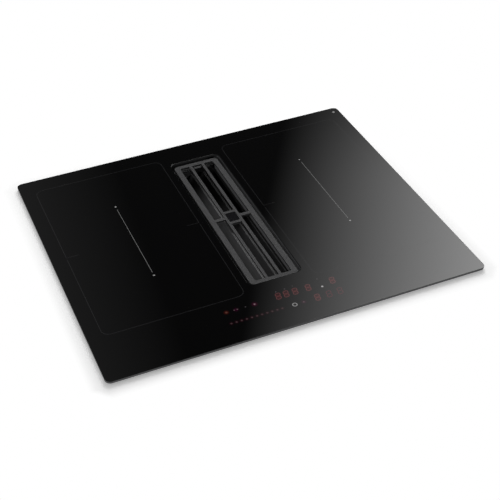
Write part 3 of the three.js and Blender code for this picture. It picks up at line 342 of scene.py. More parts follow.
def glass_ring(inset, height):
    """Rim outline of the plate, drawn in by inset."""
    outline = rounded_outline(GLASS_WIDTH - 2 * inset, GLASS_LENGTH - 2 * inset,
                              GLASS_CORNER - inset, arc=14)
    return at_height(outline, height)


def vent_ring(outset, height):
    """Vent outline, let out by outset."""
    outline = rounded_outline(VENT_WIDTH + 2 * outset, VENT_LENGTH + 2 * outset,
                              VENT_CORNER + outset, vent_centre, arc=14)
    return at_height(outline, height)


# Up the rim, round its edge by rim_round * (1 - cos a, 1 - sin a), over the top, and
# round the vent's edge down to the underside again.
plate_rows = [glass_ring(0.5 * MM, GLASS_UNDER), glass_ring(0, GLASS_UNDER + 0.5 * MM)]
plate_rows += [glass_ring(rim_round * (1 - np.cos(a)), GLASS_TOP - rim_round * (1 - np.sin(a)))
               for a in quarter_turn]
plate_rows += [glass_ring(rim_round + 0.2 * MM, GLASS_TOP),
               vent_ring(vent_round + 0.2 * MM, GLASS_TOP)]
plate_rows += [vent_ring(vent_round * (1 - np.sin(a)), GLASS_TOP - vent_round * (1 - np.cos(a)))
               for a in quarter_turn]
plate_rows += [vent_ring(0, GLASS_UNDER + 0.4 * MM), vent_ring(0.4 * MM, GLASS_UNDER)]
plate = surface("black_glass_plate", [plate_rows], loop_rows=True)

# The ground edges are rougher than the top, most of all round the vent. They are also
# paler, as ground glass is: only a little round the vent, which is painted shade, more at
# the outer rim, and most low on the right edge of the vent, which is painted light.
black_glass, tree, shader = gloss("black_ceramic_glass", glass_black, 0.03)
place = place_on(tree)
across, along, upward = wire(tree, "ShaderNodeSeparateXYZ", place).outputs
far_across, far_along = (reckon(tree, "ABSOLUTE", value) for value in (across, along))
ground = ramp(tree, upward, GLASS_TOP - 0.25 * MM, GLASS_TOP - 0.6 * MM)
coarse = ramp(tree, far_across, 0.1, 0.06, 0.34, 0.55)
# Painted shade: the ground edges round the vent are kept darker than those at the outer rim.
rim_pale_vent_painted_shade = reckon(tree, "MAXIMUM", ramp(tree, far_across, 0.048, 0.060, 0.16, 0.45),
                   ramp(tree, far_along, 0.208, 0.220, 0.16, 0.45))
# Painted light: the low part of the vent's right edge is made palest.
vent_right_painted_light = reckon(tree, "MULTIPLY", ramp(tree, across, 0.0400, 0.0435),
                    ramp(tree, across, 0.060, 0.048))
vent_right_painted_light = reckon(tree, "MULTIPLY", vent_right_painted_light,
                    ramp(tree, upward, GLASS_TOP - 1.4 * MM, GLASS_TOP - 2.4 * MM))
paleness_painted_light_shade = reckon(tree, "MULTIPLY", ground, reckon(tree, "MAXIMUM", rim_pale_vent_painted_shade, vent_right_painted_light))
two_tone(tree, shader, paleness_painted_light_shade, glass_black, (0.165, 0.169, 0.176))
smear = wire(tree, "ShaderNodeTexNoise", place, None, 9.0, 5.0, 0.6).outputs[0]
polish = ramp(tree, smear, 0.35, 0.75, 0.018, 0.040, False)
tree.links.new(reckon(tree, "MULTIPLY_ADD", ground, coarse, polish), shader.inputs["Roughness"])
pieced(black_glass, "hob", "black_glass", plate, "glass_top")

# ---------------------------------------------------------------- printed marks
# Thin grey lines round the two cooking zones, each with a short tick inward, and pale
# lines and dots down the middle of the zones. They are fired into the glossy surface.
# Places and sizes are in mm.
PRINT_LOW = GLASS_TOP + 0.01 * MM
PRINT_HIGH = GLASS_TOP + 0.05 * MM
zone_middle_x, zone_middle_y = 166.2, 28.85
zone_width, zone_length, zone_corner = 219.4, 385.5, 12.5
tick_upper, tick_lower, tick_reach = 29.5, 24.8, 20
mark_left, mark_right, mark_front, mark_rear = -165.7, 166, -58, 118


def ribbon(path, width):
    """Flat strip along an open path: each point is moved half a width to both sides
    along the mean normal of its two stretches, and the ends close in a pole."""
    path = np.asarray(path, float)
    along = np.diff(path, axis=0)
    along /= np.linalg.norm(along, axis=1)[:, None]
    before, after = np.vstack([along[:1], along]), np.vstack([along, along[-1:]])
    mean = before + after
    mean /= np.linalg.norm(mean, axis=1)[:, None]
    normal = np.column_stack([-mean[:, 1], mean[:, 0]])
    widen = (width / 2 / (mean * after).sum(1).clip(0.4))[:, None]
    left, right = path + normal * widen, path - normal * widen
    section = np.stack([at_height(right, PRINT_LOW), at_height(right, PRINT_HIGH),
                        at_height(left, PRINT_HIGH), at_height(left, PRINT_LOW)], 1)
    first, last = (np.repeat(section[k].mean(0)[None, None], 4, 1) for k in (0, -1))
    return np.concatenate([first, section, last])


def zone_paths(side):
    """Outline of one zone as two open runs, above and below the gaps at the ticks. The
    upper run starts and ends with the ticks."""
    middle = np.array((side * zone_middle_x, zone_middle_y))
    outline = rounded_outline(zone_width, zone_length, zone_corner, middle, arc=8, side=2)
    turn = np.arctan2(*(outline - middle).T[::-1])
    above, below = (outline[part][np.argsort(turn[part])]
                    for part in (outline[:, 1] > tick_upper, outline[:, 1] < tick_lower))
    left, right = middle[0] - zone_width / 2, middle[0] + zone_width / 2
    upper = np.vstack([(right - tick_reach, tick_upper), (right, tick_upper), above,
                       (left, tick_upper), (left + tick_reach, tick_upper)])
    lower = np.vstack([(left, tick_lower), below, (right, tick_lower)])
    return upper, lower


def disc(x, y, radius, inner=0.0, steps=28):
    """Flat button in mm, or a flat ring where inner isn't 0: circles for core and rim,
    radius * (cos a, sin a), at both levels."""
    turn = np.linspace(0, 2 * np.pi, steps, endpoint=False)
    around = np.column_stack([np.cos(turn), np.sin(turn)])
    rim, core = ((around * r + (x, y)) * MM for r in (radius, inner))
    rows = [at_height(core, PRINT_LOW), at_height(rim, PRINT_LOW),
            at_height(rim, PRINT_HIGH), at_height(core, PRINT_HIGH)]
    return np.stack(rows + rows[:1] if inner else rows)


def fired_print(name, dark, light):
    """Glossy enamel with a fine grain between two colours."""
    made, tree, shader = gloss(name, dark, 0.04)
    grit = wire(tree, "ShaderNodeTexNoise", place_on(tree), None, 1100.0, 3.0, 0.6).outputs[0]
    two_tone(tree, shader, ramp(tree, grit, 0.3, 0.7), dark, light)
    return made


zone_print = surface("zone_outlines", [ribbon(run * MM, 0.9 * MM)
                                       for side in (-1, 1) for run in zone_paths(side)])
pieced(fired_print("grey_zone_enamel", (0.014, 0.014, 0.015), (0.021, 0.021, 0.022)),
       "hob", "black_glass", zone_print)

mark_grids = [ribbon(np.array([(x, mark_front), (x, mark_rear)]) * MM, 0.8 * MM)
              for x in (mark_left, mark_right)]
pieced(fired_print("pale_mark_enamel", (0.15, 0.15, 0.15), (0.20, 0.20, 0.20)),
       "hob", "black_glass", surface("zone_centre_marks", mark_grids))
dots = [(mark_left, 126, 1.6), (mark_left, -65.5, 1.6), (mark_right, 126, 1.2),
        (mark_right, -65.5, 1.5), (288.8, 241.2, 2.2)]
pieced(fired_print("white_dot_enamel", (0.31, 0.31, 0.31), (0.39, 0.39, 0.39)),
       "hob", "black_glass", surface("zone_dots", [disc(*dot) for dot in dots]))

# ---------------------------------------------------------------- lit symbols
# Light of the touch controls, coming up through the glass: red seven-bar digits, a row
# of dots for the slider, and a few white, pink and amber points with a soft halo.
# Places and sizes are in mm.
digit_height, digit_width, digit_slant = 13, 7, 0.16
bar_thickness, bar_gap = 1.5, 0.35


def bars(x, y):
    """Seven-bar digit in mm. A bar is a flat six-sided prism laid along its place and
    leaned by the slant times its height."""
    high, wide, thick = digit_height / 2, digit_width / 2, bar_thickness / 2
    grids = []
    for across, up, upright in (
            (0, high, 0), (0, 0, 0), (0, -high, 0), (wide, high / 2, 1),
            (wide, -high / 2, 1), (-wide, -high / 2, 1), (-wide, high / 2, 1)):
        long = (high if upright else digit_width) / 2 - bar_gap
        bar = np.array([(-long, 0), (thick - long, thick), (long - thick, thick),
                        (long, 0), (long - thick, -thick), (thick - long, -thick)])
        bar = (bar[:, ::-1] if upright else bar) + (across, up)
        bar[:, 0] += digit_slant * bar[:, 1]
        bar = (bar + (x, y)) * MM
        core = np.full_like(bar, bar.mean(0))
        grids.append(np.stack([at_height(core, PRINT_LOW), at_height(bar, PRINT_LOW),
                               at_height(bar, PRINT_HIGH), at_height(core, PRINT_HIGH)]))
    return grids


def halo(x, y, radius, slim=1.0, steps=24):
    """Low flat button in mm with five rings, so that light can fade over it. Its width
    is slim times its height."""
    turn = np.linspace(0, 2 * np.pi, steps, endpoint=False)
    around = np.column_stack([slim * np.cos(turn), np.sin(turn)])
    low, high = PRINT_LOW - 0.006 * MM, PRINT_LOW - 0.002 * MM
    share = np.array([0, 1, 1, 0.8, 0.6, 0.4, 0.2, 0])
    level = np.array([low, low] + [high] * 6)
    return np.stack([at_height((around * radius * s + (x, y)) * MM, z)
                     for s, z in zip(share, level)])


def lit_glass(name, colour, strength, grids, spots=(), radius=1.0, slim=1.0):
    """Marks with the plate's own gloss and a light under it. The attribute glow is
    (1 - distance to the nearest spot / radius) squared, or 1 where no spot is given,
    with the distance across counted 1 / slim times."""
    piece = surface(name, grids)
    count = len(piece.data.vertices)
    value = np.ones(count)
    if len(spots):
        place = np.empty(count * 3)
        piece.data.vertices.foreach_get("co", place)
        gap = place.reshape(-1, 1, 3)[..., :2] / MM - np.asarray(spots)
        gap = np.linalg.norm(gap / (slim, 1), axis=2)
        value = (1 - gap.min(1) / radius).clip(0, 1) ** 2
    piece.data.attributes.new("glow", "FLOAT", "POINT").data.foreach_set("value", value)
    made, tree, shader = gloss(f"{name}_light", glass_black, 0.03)
    shader.inputs["Emission Color"].default_value = (*colour, 1)
    fade = tree.nodes.new("ShaderNodeAttribute")
    fade.attribute_name = "glow"
    weave = wire(tree, "ShaderNodeTexNoise", place_on(tree), None, 1500.0, 2.0, 0.5).outputs[0]
    level = reckon(tree, "MULTIPLY", fade.outputs["Fac"],
                   ramp(tree, weave, 0.3, 0.7, 0.85 * strength, 1.15 * strength, False))
    tree.links.new(level, shader.inputs["Emission Strength"])
    return pieced(made, "hob", "black_glass", piece)


digit_row, faint_row, point_row, slider_row = -187.0, -213.0, -189, -213.9
digit_places = [(-14.4, digit_row), (-1.7, digit_row), (12.8, digit_row), (33.9, -187.3),
                (73.9, digit_row), (37.2, -212.8)]
faint_places = [(56.1, faint_row), (73.9, faint_row)]
slider_places = [(x, slider_row) for x in range(-100, -12, 8)]
small_halo_places = [(-82.6, point_row), (14.4, slider_row)]
amber_place, rose_place = (-97.8, point_row), (-53.3, point_row)
lit_glass("digit_halos", (1.0, 0.0, 0.03), 0.055,
          [halo(*place, 10, 0.62) for place in digit_places], digit_places, 10, 0.62)
lit_glass("red_digits", (1.0, 0.26, 0.27), 0.079,
          [grid for place in digit_places for grid in bars(*place)])
lit_glass("faint_digits", (1.0, 0.12, 0.20), 0.05,
          [grid for place in faint_places for grid in bars(*place)])
lit_glass("slider_halos", (1.0, 0.0, 0.22), 0.022,
          [halo(*place, 3.9) for place in slider_places], slider_places, 5)
lit_glass("slider_dots", (1.0, 0.62, 0.66), 0.036,
          [disc(*place, 1.5) for place in slider_places])
lit_glass("amber_halo", (1.0, 0.12, 0.06), 0.09, [halo(*amber_place, 5.5)], [amber_place], 5.5)
lit_glass("amber_point", (1.0, 0.42, 0.30), 0.075, [disc(*amber_place, 1.6)])
lit_glass("rose_halo", (1.0, 0.0, 0.35), 0.06, [halo(*rose_place, 6.5)], [rose_place], 6.5)
lit_glass("rose_point", (1.0, 0.66, 0.75), 0.155, [disc(*rose_place, 1.5)])
lit_glass("rose_small_points", (1.0, 0.66, 0.75), 0.085,
          [disc(-85.6, point_row, 0.9), disc(-80.6, point_row, 1.1),
           disc(14.4, slider_row, 1.1)])
lit_glass("rose_small_halos", (1.0, 0.0, 0.45), 0.03,
          [halo(*place, 6) for place in small_halo_places], small_halo_places, 6)
lit_glass("white_point", (1.0, 0.97, 0.98), 0.34, [disc(54.2, -193.7, 1.7)])
lit_glass("white_ring", (1.0, 1.0, 1.0), 0.21, [disc(0, -214, 4.0, 2.6)])
lit_glass("white_small_points", (1.0, 0.80, 0.88), 0.085,
          [disc(-13.9, -176.7, 0.9), disc(0.6, -176.0, 0.9), disc(54.4, -175.0, 0.8),
           disc(13.9, -174.4, 0.6)])
lit_glass("grey_point", (1.0, 0.90, 0.95), 0.045, [disc(-67.8, point_row, 1.0)])

# ---------------------------------------------------------------- foam seal
# A ring of black cellular rubber under the rim of the glass, stuck on, that keeps
# spills out of the cut-out.


def eased_copy(node, name, width, steps=2, angle=32):
    """Copy of a CAD node with its loose triangles merged, flat areas joined and sharp
    edges rounded by a bevel of the given width."""
    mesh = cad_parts[node].data.copy()
    mesh.name = name
    work = bmesh.new()
    work.from_mesh(mesh)
    bmesh.ops.remove_doubles(work, verts=work.verts, dist=1e-6)
    bmesh.ops.dissolve_limit(work, angle_limit=radians(0.4), verts=work.verts, edges=work.edges)
    work.to_mesh(mesh)
    work.free()
    mesh.shade_smooth()
    mesh.set_sharp_from_angle(angle=radians(angle))
    made = bpy.data.objects.new(name, mesh)
    scene.collection.objects.link(made)
    if width:
        bevel = made.modifiers.new("eased_edges", "BEVEL")
        bevel.width, bevel.segments, bevel.limit_method = width, steps, "ANGLE"
        bevel.angle_limit, bevel.harden_normals = radians(angle), True
    return made


def grained(name, colour, roughness, scale, spread, bump, metallic=0.0, reflect=0.5,
            stretch=(1, 1, 1), cells=False):
    """Material whose colour runs a share of spread either way, whose roughness follows,
    and whose surface has a relief bump mm deep, all from one pattern of grain or cells."""
    made, tree, shader = gloss(name, colour, roughness, metallic, reflect)
    spot = wire(tree, "ShaderNodeMapping", place_on(tree), None, None, stretch).outputs[0]
    if cells:
        pattern = wire(tree, "ShaderNodeTexVoronoi", spot, None, scale).outputs[0]
    else:
        pattern = wire(tree, "ShaderNodeTexNoise", spot, None, scale, 4.0, 0.6).outputs[0]
    cloud = wire(tree, "ShaderNodeTexNoise", spot, None, scale / 25, 3.0, 0.6).outputs[0]
    share = ramp(tree, reckon(tree, "MULTIPLY_ADD", cloud, 0.4,
                              reckon(tree, "MULTIPLY", pattern, 0.6)), 0.3, 0.7)
    two_tone(tree, shader, share, [c * (1 - spread) for c in colour],
             [c * (1 + spread) for c in colour])
    tree.links.new(ramp(tree, share, 0, 1, roughness * 0.88, min(roughness * 1.12, 1), False),
                   shader.inputs["Roughness"])
    relief = wire(tree, "ShaderNodeBump", 0.6, bump * MM)
    tree.links.new(pattern, relief.inputs["Height"])
    tree.links.new(relief.outputs[0], shader.inputs["Normal"])
    return made


foam = grained("cellular_rubber", (0.022, 0.022, 0.022), 0.9, 1600, 0.3, 0.15, cells=True)
pieced(foam, "hob", "foam_seal", eased_copy("glass_seal", "foam_seal_ring", 0.3 * MM),
       "glass_seal")

# ---------------------------------------------------------------- vent frame
# Moulded in black plastic and glued under the glass. Its pocket carries the grille, and
# its throat leads the steam down past the filter.


def scaled_colour(made, factor):
    """The finish's own base colour times a factor worked out by the given function."""
    tree = made.node_tree
    shader = next(node for node in tree.nodes if node.type == "BSDF_PRINCIPLED")
    plain_colour = shader.inputs["Base Color"].links[0].from_socket
    share = factor(tree, wire(tree, "ShaderNodeSeparateXYZ", place_on(tree)).outputs)
    scaled = wire(tree, "ShaderNodeVectorMath", plain_colour, None, None, share,
                  operation="SCALE")
    tree.links.new(scaled.outputs[0], shader.inputs["Base Color"])


def pocket_painted_light_shade(tree, place):
    """Painted light on the right wall of the pocket, and painted shade on the right wall of
    the throat and at its rear."""
    across = reckon(tree, "ADD", ramp(tree, place[0], 20 * MM, 27 * MM, 1.0, 0.10),
                    ramp(tree, place[0], 36 * MM, 40 * MM, 0.0, 3.4))
    return reckon(tree, "MULTIPLY", across, ramp(tree, place[1], 0.150, 0.190, 1.0, 0.45))


mould_grain = grained("moulded_black_plastic", (0.036, 0.036, 0.037), 0.55, 1500, 0.12, 0.03,
                      reflect=0.35)
# Painted light and shade on the frame: a pale pocket wall on the right, a dark throat and rear.
scaled_colour(mould_grain, pocket_painted_light_shade)
pieced(mould_grain, "hob", "frame_plastic",
       eased_copy("vent_frame", "vent_frame_moulded", 0.4 * MM), "vent_frame")

# ---------------------------------------------------------------- grille
# Die-cast frame with two long bars, a crossbar and a middle block, powder coated dark
# grey. It lies loose in the vent on two long feet, so it lifts off for cleaning.
grey_coat = grained("grey_powder_coat", (0.038, 0.038, 0.039), 0.55, 1400, 0.07, 0.03,
                    reflect=0.2)
grille_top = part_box("vent_grille")[1][2]


def flange_painted_light(tree, place):
    """Painted light: paler below the plate, on the flanges, and most of all on the right one.
    """
    paler = ramp(tree, place[0], 22 * MM, 26 * MM, 2.1, 4.8)
    return ramp(tree, place[2], grille_top - 3.2 * MM, grille_top - 2.8 * MM, paler, 1.0)


# Painted light on the grille's flanges under the plate.
scaled_colour(grey_coat, flange_painted_light)
pieced(grey_coat, "grille", "grille_coat",
       eased_copy("vent_grille", "grille_casting", 0.7 * MM, 3), "vent_grille")

# ---------------------------------------------------------------- grille inlay
# A blank plate of gloss black plastic, 17 by 23 mm. It is glued into a shallow recess in
# the grille's middle block.
inlay_black = grained("inlay_gloss_black", (0.006, 0.006, 0.007), 0.10, 700, 0.10, 0.004,
                      reflect=0.35)
pieced(inlay_black, "grille", "inlay_gloss",
       eased_copy("grille_inlay", "grille_inlay_plate", 0.15 * MM), "grille_inlay")

# ---------------------------------------------------------------- grease filter
# Frame and folded baffle of dark-coated sheet, hung in the throat on a lug at each end.
# The rear lug has an upright tab to pull it out by. The rear half and the right carry
# painted shade.
filter_coat = grained("filter_coated_steel", (0.126, 0.126, 0.128), 0.50, 600, 0.10, 0.02,
                      reflect=0.1, stretch=(1, 0.03, 1))


def filter_painted_shade(tree, place):
    """Share of the plain colour under painted shade: less to the right, and least beyond a
    slanted line across the rear half, a little more again at the very rear, but not on the pull
    tab."""
    slant = reckon(tree, "MULTIPLY_ADD", place[0], 2.5, place[1])
    shade_amount = reckon(tree, "MULTIPLY", ramp(tree, slant, 35 * MM, 128 * MM),
                  ramp(tree, place[2], GLASS_TOP - 7 * MM, GLASS_TOP - 11 * MM))
    shade_amount = reckon(tree, "MULTIPLY", shade_amount, ramp(tree, place[1], 0.168, 0.182, 1.0, 0.72))
    return reckon(tree, "MULTIPLY", ramp(tree, place[0], -14 * MM, -6 * MM, 1.0, 0.38),
                  ramp(tree, shade_amount, 0, 1, 1.0, 0.05, False))


# Painted shade on the filter's rear half and right side.
scaled_colour(filter_coat, filter_painted_shade)
pieced(filter_coat, "grease_filter", "filter_steel",
       eased_copy("grease_filter_frame", "filter_frame_folded", 0.2 * MM),
       "grease_filter_frame")
pieced(filter_coat, "grease_filter", "filter_steel",
       eased_copy("grease_filter_baffle", "filter_baffle_folded", 0.4 * MM, 3, 12),
       "grease_filter_baffle")

# ---------------------------------------------------------------- drip tray
# A long black plastic trough at the foot of the vent, with a handle and a finger hole
# at each end. It catches what runs through the filter and lifts out upwards.
tray_grain = grained("tray_black_plastic", (0.026, 0.026, 0.028), 0.48, 1300, 0.10, 0.03)
pieced(tray_grain, "drip_tray", "tray_plastic",
       eased_copy("drip_tray", "drip_tray_moulded", 0.4 * MM), "drip_tray")

# ---------------------------------------------------------------- coil pan
# Folded from galvanised sheet, with pressed beads for stiffness and thread-forming
# screws. The pan carries everything under the glass.


def wall(origin, right, up):
    """A flat place to fix things on: its origin, and rows of its unit vectors to the
    right, up and out."""
    right, up = np.array(right, float), np.array(up, float)
    return np.array(origin, float), np.stack([right, up, np.cross(right, up)])


def on_wall(place, rows):
    """Rows of (right, up, out) in mm taken to the wall's place."""
    origin, axes = place
    return origin + np.asarray(rows, float) * MM @ axes


def pad(place, x, y, width, height, rise, ease=0.5, sink=0.4):
    """Raised pad in mm with round ends: rounded outlines at the wall and up to rise,
    drawn in by ease * (1 - cos a) and held under the top by ease * (1 - sin a), closed
    by poles."""
    radius = min(width, height) / 2
    insets = [0, 0] + [ease * (1 - np.cos(a)) for a in quarter_turn[::2]]
    levels = [-sink, rise - ease] + [rise - ease * (1 - np.sin(a)) for a in quarter_turn[::2]]
    rows = [at_height(rounded_outline(width - 2 * i, height - 2 * i, max(radius - i, 0.01),
                                      (x, y), arc=5, side=2), z)
            for i, z in zip(insets, levels)]
    low, high = (at_height(np.full_like(rows[0][:, :2], (x, y)), z) for z in (-sink, rise))
    return on_wall(place, np.stack([low, *rows, high]))


def screw_head(place, x, y, radius, rise, columns=32, sink=0.3):
    """Pan head with a cross recess in mm: rings up the dome, then a cross whose reach
    peaks four times round, down to a pole."""
    turn = np.linspace(0, 2 * np.pi, columns, endpoint=False)
    around = np.column_stack([np.cos(turn), np.sin(turn)])
    cross = (0.13 + 0.40 * np.abs(np.cos(2 * turn)) ** 8)[:, None]
    steps = ((0, -sink), (1, -sink), (1, 0.4 * rise), (0.93, 0.7 * rise), (0.80, 0.9 * rise),
             (0.60, rise), (cross, rise), (cross * 0.8, 0.4 * rise), (0, 0.35 * rise))
    return on_wall(place, np.stack([at_height(around * (radius * r) + (x, y), z)
                                    for r, z in steps]))


pan_low, pan_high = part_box("coil_pan")
pan_floor = 0.146
bead_width, bead_rise = 7, 1.4
pan_screw_radius, pan_screw_rise = 3.2, 1.8
pan_front = wall((0, pan_low[1], pan_floor), (1, 0, 0), (0, 0, 1))
pan_rear = wall((0, pan_high[1], pan_floor), (-1, 0, 0), (0, 0, 1))
pan_left = wall((pan_low[0], 0, pan_floor), (0, -1, 0), (0, 0, 1))
pan_right = wall((pan_high[0], 0, pan_floor), (0, 1, 0), (0, 0, 1))
pan_under = wall((0, 0, pan_floor), (1, 0, 0), (0, -1, 0))
zinc_sheet = grained("galvanised_sheet", (0.42, 0.43, 0.44), 0.42, 160, 0.14, 0.01, 0.75,
                     cells=True)
plated_steel = grained("plated_steel", (0.50, 0.50, 0.49), 0.34, 900, 0.08, 0.01, 0.9)
pieced(zinc_sheet, "hob", "pan_steel", eased_copy("coil_pan", "coil_pan_folded", 0.25 * MM),
       "coil_pan")
bead_places = [(pan_front, x, 32, 130, bead_width) for x in (-180, 0, 180)]
bead_places += [(pan_rear, x, 32, 130, bead_width) for x in (0, -180)]
bead_places += [(pan_left, -55, 34, 90, bead_width), (pan_right, 55, 34, 90, bead_width)]
bead_places += [(pan_under, x, y, 8, 170) for x in (-240, -200, -160) for y in (-100, 100)]
pieced(zinc_sheet, "hob", "pan_steel",
       surface("coil_pan_beads", [pad(*place, bead_rise) for place in bead_places]))
screw_places = [(side, x, 53) for side in (pan_front, pan_rear) for x in (-255, -85, 85, 255)]
screw_places += [(side, x, 53) for side in (pan_left, pan_right) for x in (-215, 0, 215)]
screw_places += [(pan_under, x, y) for x in (-262, -120) for y in (-205, 0, 205)]
pan_screws = [screw_head(*place, pan_screw_radius, pan_screw_rise) for place in screw_places]
pieced(plated_steel, "hob", "screw_steel", surface("coil_pan_screws", pan_screws))

# ---------------------------------------------------------------- coils and their carriers
# Under each glass zone lie two wound coils on grey plastic carriers with ferrite bars,
# over them a mica sheet, and in each middle a ceramic probe pressed to the glass.
corners = ("front_left", "rear_left", "front_right", "rear_right")
coil_group = {
    "coil": ("coil_copper", 0.3, grained(
        "lacquered_copper", (0.42, 0.17, 0.08), 0.38, 500, 0.15, 0.05, 0.8)),
    "mica_sheet": ("mica", 0, grained(
        "mica_flakes", (0.55, 0.49, 0.36), 0.6, 240, 0.18, 0.02, cells=True)),
    "coil_carrier": ("carrier_plastic", 0.3, grained(
        "carrier_grey_plastic", (0.075, 0.080, 0.085), 0.55, 1200, 0.10, 0.02)),
    "temperature_sensor": ("sensor_ceramic", 0.2, grained(
        "probe_white_ceramic", (0.68, 0.67, 0.63), 0.5, 900, 0.06, 0.02)),
}
for kind, (slot, width, finish) in coil_group.items():
    for corner in corners:
        node = f"{kind}_{corner}"
        pieced(finish, "hob", slot, eased_copy(node, f"{node}_finished", width * MM), node)
rolled = grained("rolled_aluminium", (0.60, 0.61, 0.62), 0.35, 800, 0.07, 0.01, 0.9,
                 stretch=(0.03, 1, 1))
for side in ("left", "right"):
    node = f"coil_plate_{side}"
    pieced(rolled, "hob", "plate_aluminium", eased_copy(node, f"{node}_rolled", 0.2 * MM), node)

# ---------------------------------------------------------------- power electronics
# One power board to each side, with a finned aluminium heat sink in the wind of a small
# radial fan that draws its air through the slots of the pan.
board_green = grained("green_board", (0.018, 0.110, 0.045), 0.40, 700, 0.20, 0.03)
extruded = grained("extruded_aluminium", (0.62, 0.63, 0.64), 0.38, 700, 0.07, 0.01, 0.9,
                   stretch=(1, 0.04, 1))
fan_black = grained("fan_black_plastic", (0.022, 0.022, 0.024), 0.50, 1300, 0.10, 0.02)
rotor_grey = grained("rotor_grey_plastic", (0.080, 0.084, 0.088), 0.45, 1300, 0.10, 0.02)
for side in ("left", "right"):
    for kind, body, slot, finish in (
            ("power_board", "hob", "circuit_board", board_green),
            ("heat_sink", "hob", "heat_sink_aluminium", extruded),
            ("cooling_fan_housing", "hob", "fan_plastic", fan_black),
            ("cooling_fan_rotor", f"cooling_fan_{side}", "rotor_plastic", rotor_grey)):
        node = f"{kind}_{side}"
        pieced(finish, body, slot, eased_copy(node, f"{node}_finished", 0.15 * MM), node)

# ---------------------------------------------------------------- mains connection
# The supply cable comes in through a gland in the rear wall to a terminal block under a
# cover, and on to a small filter board.
for node, slot, finish in (
        ("terminal_block", "terminal_plastic", grained(
            "terminal_cream_plastic", (0.66, 0.65, 0.59), 0.50, 1000, 0.06, 0.02)),
        ("terminal_cover", "cover_plastic", grained(
            "cover_black_plastic", (0.026, 0.026, 0.028), 0.50, 1300, 0.10, 0.02)),
        ("mains_filter_board", "circuit_board", board_green),
        ("cable_gland", "gland_plastic", grained(
            "gland_black_nylon", (0.030, 0.030, 0.032), 0.42, 1200, 0.10, 0.02))):
    pieced(finish, "hob", slot, eased_copy(node, f"{node}_finished", 0.3 * MM), node)

# ---------------------------------------------------------------- touch controls
# A black tray behind the front rim holds the touch board, the digit display and a clear
# light guide up against the glass.
for node, slot, finish in (
        ("control_carrier", "cover_plastic", grained(
            "control_tray_plastic", (0.024, 0.024, 0.026), 0.50, 1250, 0.10, 0.02)),
        ("touch_board", "circuit_board", board_green),
        ("display_module", "display_plastic", grained(
            "display_white_plastic", (0.62, 0.62, 0.61), 0.40, 900, 0.05, 0.02)),
        ("light_guide", "light_guide", grained(
            "light_guide_acrylic", (0.55, 0.58, 0.61), 0.12, 400, 0.05, 0.01))):
    pieced(finish, "hob", slot, eased_copy(node, f"{node}_finished", 0.2 * MM), node)

# ---------------------------------------------------------------- air box
# Two black plastic shells, ribbed outside and screwed together through a flange all
# round. They lead the air from the vent to the blower.
box_left, box_right, box_front, box_rear = -100, 252, -190, 232
rib_width, rib_rise, rib_ease = 2.4, 2.0, 0.6
lower_rib, upper_rib = (53, 84), (126, 30)
flange_level = 0.1065
flange_reach, flange_screw_radius, flange_screw_rise = 3.1, 2.4, 1.6
shell_black = grained("air_box_black_plastic", (0.022, 0.022, 0.023), 0.52, 1400, 0.12, 0.04)
for node in ("air_box_lower", "air_box_upper"):
    pieced(shell_black, "hob", "air_box_plastic", eased_copy(node, f"{node}_moulded", 0.6 * MM),
           node)
shell_front = wall((0, box_front * MM, 0), (1, 0, 0), (0, 0, 1))
shell_rear = wall((0, box_rear * MM, 0), (-1, 0, 0), (0, 0, 1))
shell_left = wall((box_left * MM, 0, 0), (0, -1, 0), (0, 0, 1))
shell_right = wall((box_right * MM, 0, 0), (0, 1, 0), (0, 0, 1))
across_box = np.linspace(box_left + 26, box_right - 26, 8)
along_box = np.linspace(box_front + 28, box_rear - 28, 9)
rib_places = [(side, x, rib) for rib in (lower_rib, upper_rib)
              for side, row in ((shell_front, across_box), (shell_left, -along_box),
                                (shell_right, along_box)) for x in row]
rib_places += [(shell_rear, -x, upper_rib) for x in across_box]
rib_places += [(shell_rear, -x, lower_rib) for x in across_box[:3]]
ribs = [pad(side, x, middle, rib_width, height, rib_rise, rib_ease)
        for side, x, (middle, height) in rib_places]
pieced(shell_black, "hob", "air_box_plastic", surface("air_box_ribs", ribs))
flange_top = wall((0, 0, flange_level), (1, 0, 0), (0, 1, 0))
half_way_x = (across_box[:-1] + across_box[1:]) / 2
half_way_y = (along_box[:-1] + along_box[1:]) / 2
flange_places = [(x, y) for x in half_way_x[::2]
                 for y in (box_front - flange_reach, box_rear + flange_reach)]
flange_places += [(x, y) for y in half_way_y[::2]
                  for x in (box_left - flange_reach, box_right + flange_reach)]
flange_screws = [screw_head(flange_top, *place, flange_screw_radius, flange_screw_rise)
                 for place in flange_places]
pieced(plated_steel, "hob", "screw_steel", surface("air_box_screws", flange_screws))

# ---------------------------------------------------------------- outlet spigot
# A flat black plastic mouth at the rear with a collar and two sealing ridges, which
# the flat duct is pushed over. Sizes of the mouth are in mm.
mouth_width, mouth_height, mouth_corner = 222, 89, 5
mouth_middle = (135.5, 49.5)
ridge_places = (241, 247)
pieced(shell_black, "hob", "spigot_plastic",
       eased_copy("outlet_spigot", "outlet_spigot_moulded", 0.5 * MM), "outlet_spigot")


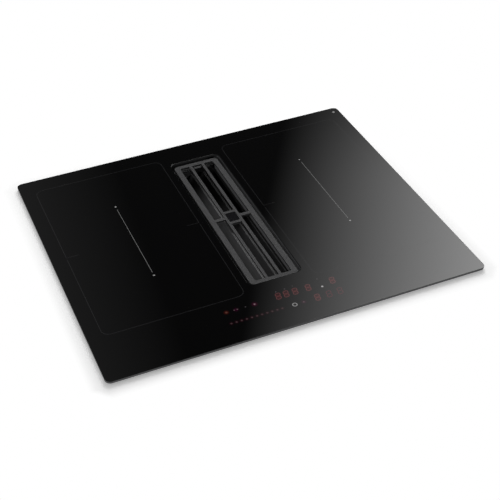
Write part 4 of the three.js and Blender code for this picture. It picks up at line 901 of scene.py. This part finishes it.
def spigot_ridge(y, rise=0.9, half=1.1):
    """Ridge round the mouth in mm: a half-round section, from half before y to half
    behind it, carried along the mouth's outline."""
    turn = np.radians(np.linspace(0, 180, 7))
    outs = np.append(rise * np.sin(turn), [-0.4, -0.4])
    places = np.append(y - half * np.cos(turn), [y + half, y - half])
    rows = []
    for out, place in zip(outs, places):
        outline = rounded_outline(mouth_width + 2 * out, mouth_height + 2 * out,
                                  mouth_corner + out, mouth_middle, arc=6)
        rows.append(at_height(outline, place)[:, [0, 2, 1]])
    return np.stack(rows) * MM


pieced(shell_black, "hob", "spigot_plastic",
       surface("outlet_spigot_ridges", [spigot_ridge(y) for y in ridge_places], loop_rows=True))

# ---------------------------------------------------------------- blower
# A scroll of grey plastic holds a wheel with curved blades on the shaft of a
# steel-cased motor.
for node, body, slot, width, finish in (
        ("blower_scroll", "hob", "scroll_plastic", 0.3, grained(
            "scroll_grey_plastic", (0.090, 0.094, 0.100), 0.45, 1300, 0.10, 0.02)),
        ("blower_motor", "hob", "motor_steel", 0.4, grained(
            "motor_zinc_shell", (0.45, 0.46, 0.47), 0.38, 500, 0.10, 0.01, 0.8)),
        ("motor_shaft", "hob", "shaft_steel", 0.3, grained(
            "ground_shaft_steel", (0.52, 0.52, 0.53), 0.25, 1200, 0.06, 0.01, 1.0,
            stretch=(1, 1, 0.1))),
        ("blower_impeller", "blower_wheel", "impeller_plastic", 0.15, grained(
            "impeller_grey_plastic", (0.065, 0.068, 0.073), 0.45, 1300, 0.10, 0.02))):
    pieced(finish, body, slot, eased_copy(node, f"{node}_finished", width * MM), node)

# ---------------------------------------------------------------- clamps
# Four folded brackets on the pan's side walls, each with a plated screw that presses
# its pad up against the worktop.
for corner in corners:
    for kind, slot, width, finish in (("clamp_bracket", "clamp_steel", 0.3, zinc_sheet),
                                      ("clamp_screw", "screw_steel", 0.25, plated_steel)):
        node = f"{kind}_{corner}"
        pieced(finish, "hob", slot, eased_copy(node, f"{node}_plated", width * MM), node)
